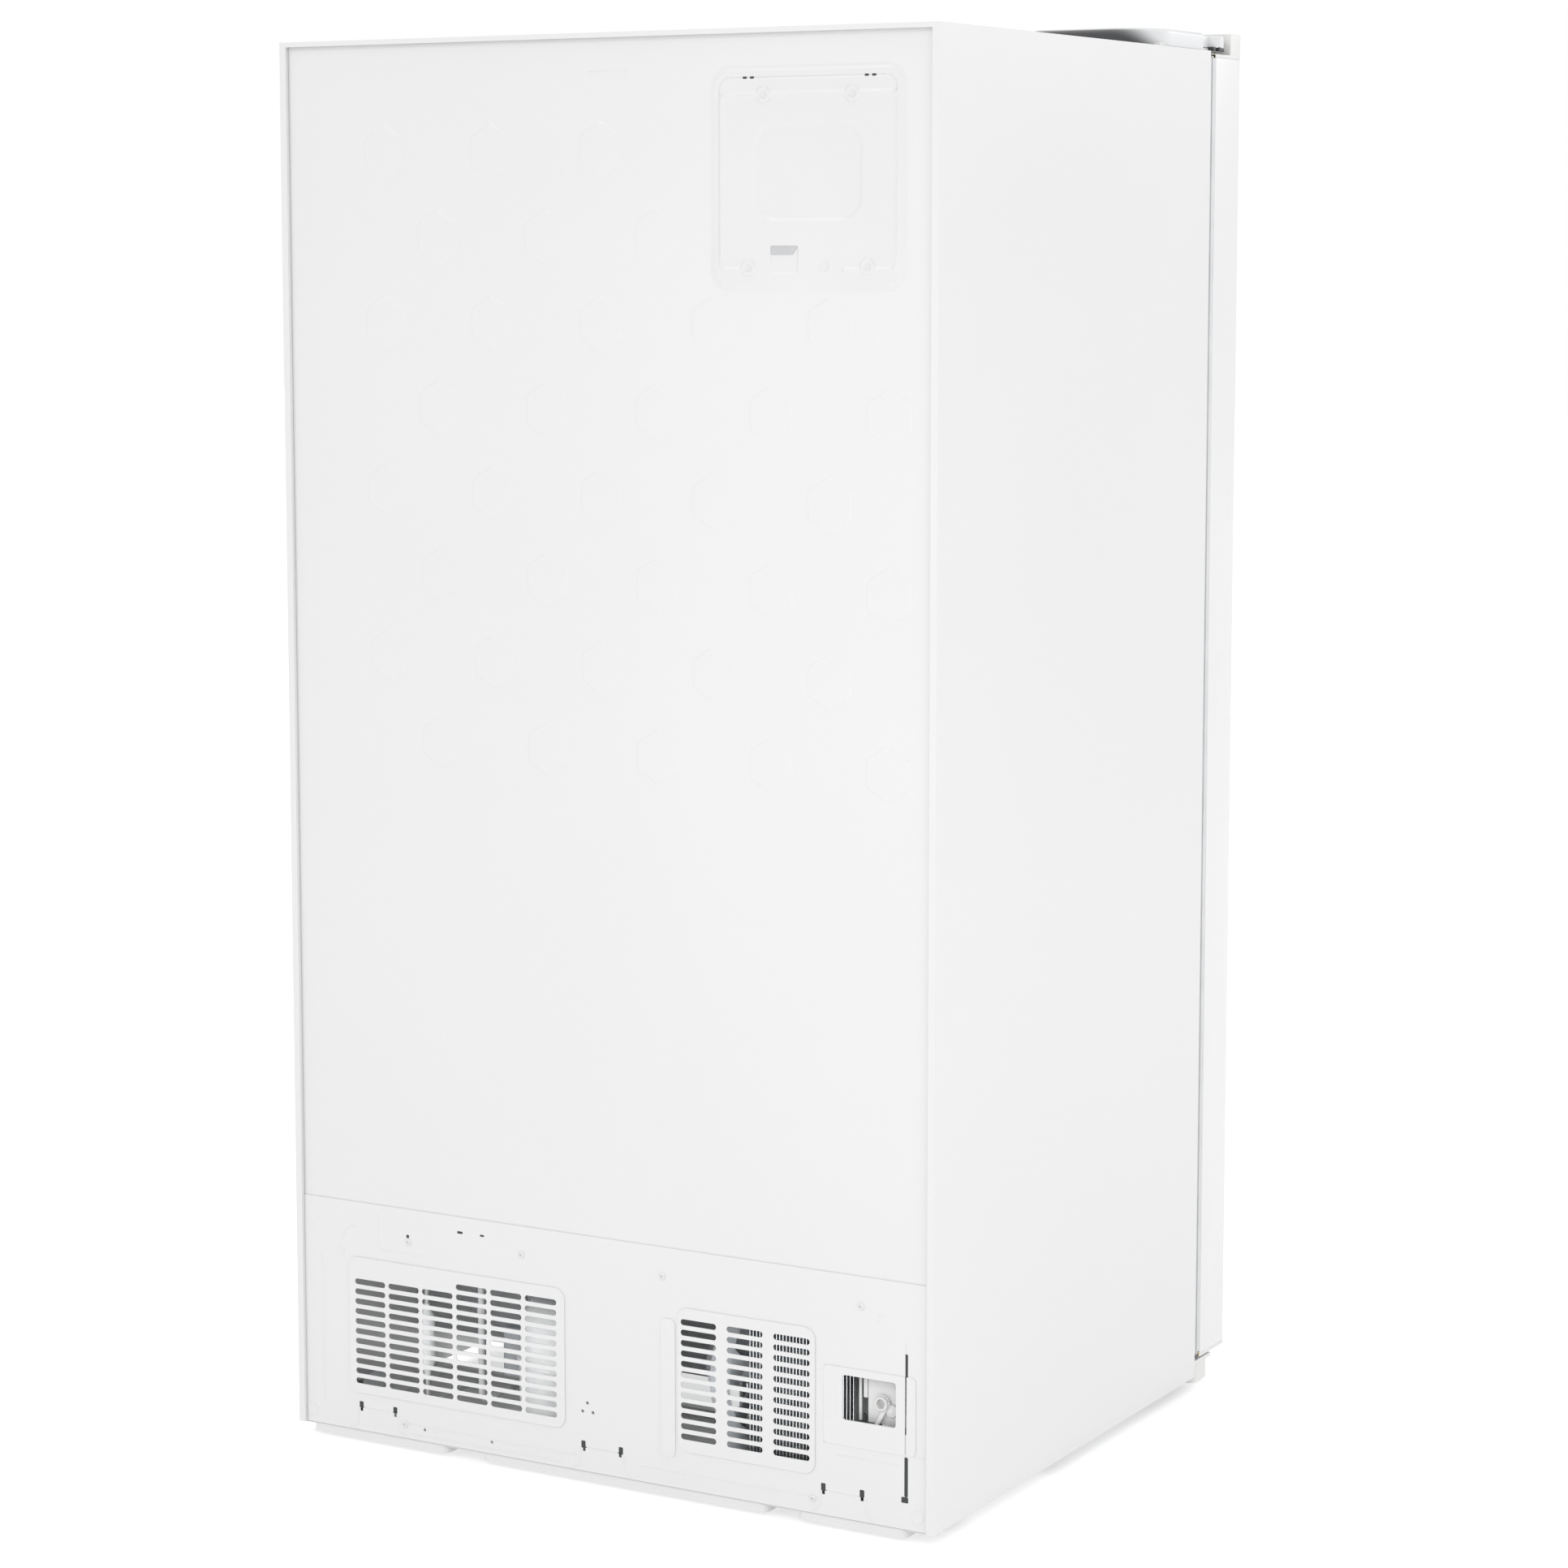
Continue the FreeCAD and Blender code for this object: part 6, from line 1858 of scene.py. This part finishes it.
@dataclass
class Studio:
    """Pale floor, soft light and the camera."""

    place: tuple[float, float, float] = (-2.4907, 4.3404, 1.4998)
    heading: float = 29.849
    pitch: float = 6.668
    lens: float = 89.63
    shift: float = -0.05
    floor_size: float = 60.0

    def floor(self) -> None:
        """Large opal sheet under the object, lit from beneath so that shadows stay faint."""
        half = self.floor_size / 2
        count = 9
        line = np.linspace(-half, half, count)
        x, y = np.meshgrid(line, line, indexing="ij")
        points = np.stack([x, y, np.full_like(x, -0.0005)], -1).reshape(-1, 3)
        index = np.arange(count * count).reshape(count, count)
        quads = np.stack([index[:-1, :-1], index[1:, :-1], index[1:, 1:], index[:-1, 1:]],
                         -1).reshape(-1, 4)
        mesh = bpy.data.meshes.new("studio_floor")
        mesh.from_pydata(points.tolist(), [], quads.tolist())
        sheet = Finish("lit_opal_floor", "#c6c6c6", "#c8c8c8", roughness=0.85, patch=900.0,
                       grain=3.0, grain_height=0.01).material()
        glow = sheet.node_tree.nodes["Principled BSDF"].inputs
        glow["Emission Color"].default_value = (1.0, 1.0, 1.0, 1.0)
        glow["Emission Strength"].default_value = 0.5
        mesh.materials.append(sheet)
        floor = bpy.data.objects.new("studio_floor", mesh)
        bpy.context.scene.collection.objects.link(floor)

    def light(self, name: str, place: tuple, target: tuple, size: float, power: float) -> None:
        """Square soft box that looks at a target.

        Args:
            name: Its name.
            place: Where it hangs, in metres.
            target: What it looks at.
            size: Length of its side.
            power: Watts.
        """
        lamp = bpy.data.lights.new(name, "AREA")
        lamp.shape = "SQUARE"
        lamp.size = size
        lamp.energy = power
        box = bpy.data.objects.new(name, lamp)
        box.visible_camera = False
        box.location = place
        away = Vector(place) - Vector(target)
        box.rotation_mode = "QUATERNION"
        box.rotation_quaternion = away.to_track_quat("Z", "Y")
        bpy.context.scene.collection.objects.link(box)

    def overhead(self) -> None:
        """Wide soft light straight down, which lifts the floor and leaves upright faces alone."""
        lamp = bpy.data.lights.new("overhead", "SUN")
        lamp.energy = 0.42
        lamp.angle = math.radians(25)
        bpy.context.scene.collection.objects.link(bpy.data.objects.new("overhead", lamp))

    def world(self) -> None:
        """Even white surround."""
        world = bpy.data.worlds.new("white_surround")
        bpy.context.scene.world = world
        world.use_nodes = True
        sky = world.node_tree.nodes["Background"]
        sky.inputs["Color"].default_value = (1.0, 1.0, 1.0, 1.0)
        sky.inputs["Strength"].default_value = 1.0

    def camera(self) -> None:
        """Camera behind the object's freezer side, a little above its middle."""
        data = bpy.data.cameras.new("view")
        data.lens = self.lens
        data.shift_y = self.shift
        camera = bpy.data.objects.new("view", data)
        yaw, pitch = math.radians(self.heading), math.radians(self.pitch)
        look = Vector((math.sin(yaw) * math.cos(pitch), -math.cos(yaw) * math.cos(pitch),
                       -math.sin(pitch)))
        camera.location = self.place
        camera.rotation_mode = "QUATERNION"
        camera.rotation_quaternion = look.to_track_quat("-Z", "Y")
        bpy.context.scene.collection.objects.link(camera)
        bpy.context.scene.camera = camera

    def build(self) -> None:
        """Set the floor, the lights and the camera."""
        scene = bpy.context.scene
        scene.view_settings.view_transform = "Standard"
        self.floor()
        self.world()
        self.light("key_box", (4.9, 8.8, 9.2), (0, 0.4, 1.0), 2.2, 200.0)
        self.light("fill_box", (-4.2, 2.2, 1.2), (-0.4, 0.0, 0.9), 1.6, 14.0)
        self.light("near_box", (-0.95, 1.75, 1.05), (-0.3, 0.45, 1.0), 0.7, 3.0)
        self.light("front_box", (-2.6, -4.2, 3.0), (0, -0.3, 0.9), 1.2, 30.0)
        self.overhead()
        self.light("compressor_bay_light", (0.215, 0.437, 0.145), (0.215, 0.2, 0.145), 0.26, 0.16)
        self.light("condenser_bay_light", (-0.215, 0.437, 0.135), (-0.215, 0.2, 0.135), 0.17, 0.28)
        self.camera()


# ---------------------------------------------------------------- the whole


def main() -> None:
    """Build every sub-assembly in order."""
    logging.basicConfig(level=logging.INFO, format="%(message)s")
    Studio().build()
    dress_nodes()
    BackPanel().build()
    BoardCover().build()
    LowerCoverDetails().build()
    for side, sign in (("left", -1.0), ("right", 1.0)):
        HingeCover(side, sign).build()
    DoorPanel("freezer", ((640.0, 110.0), (830.0, 110.0), (1555.0, 85.0)),
              hole=((-367.0, -181.0), (1007.0, 1333.0))).build()
    DoorPanel("fridge", ((640.0, 120.0), (900.0, 120.0), (1180.0, 120.0),
                         (1470.0, 130.0))).build()
    Dispenser().build()
    ColdInside().build()
    MachineRoom().build()
    RunningGear().build()


if __name__ == "__main__":
    main()
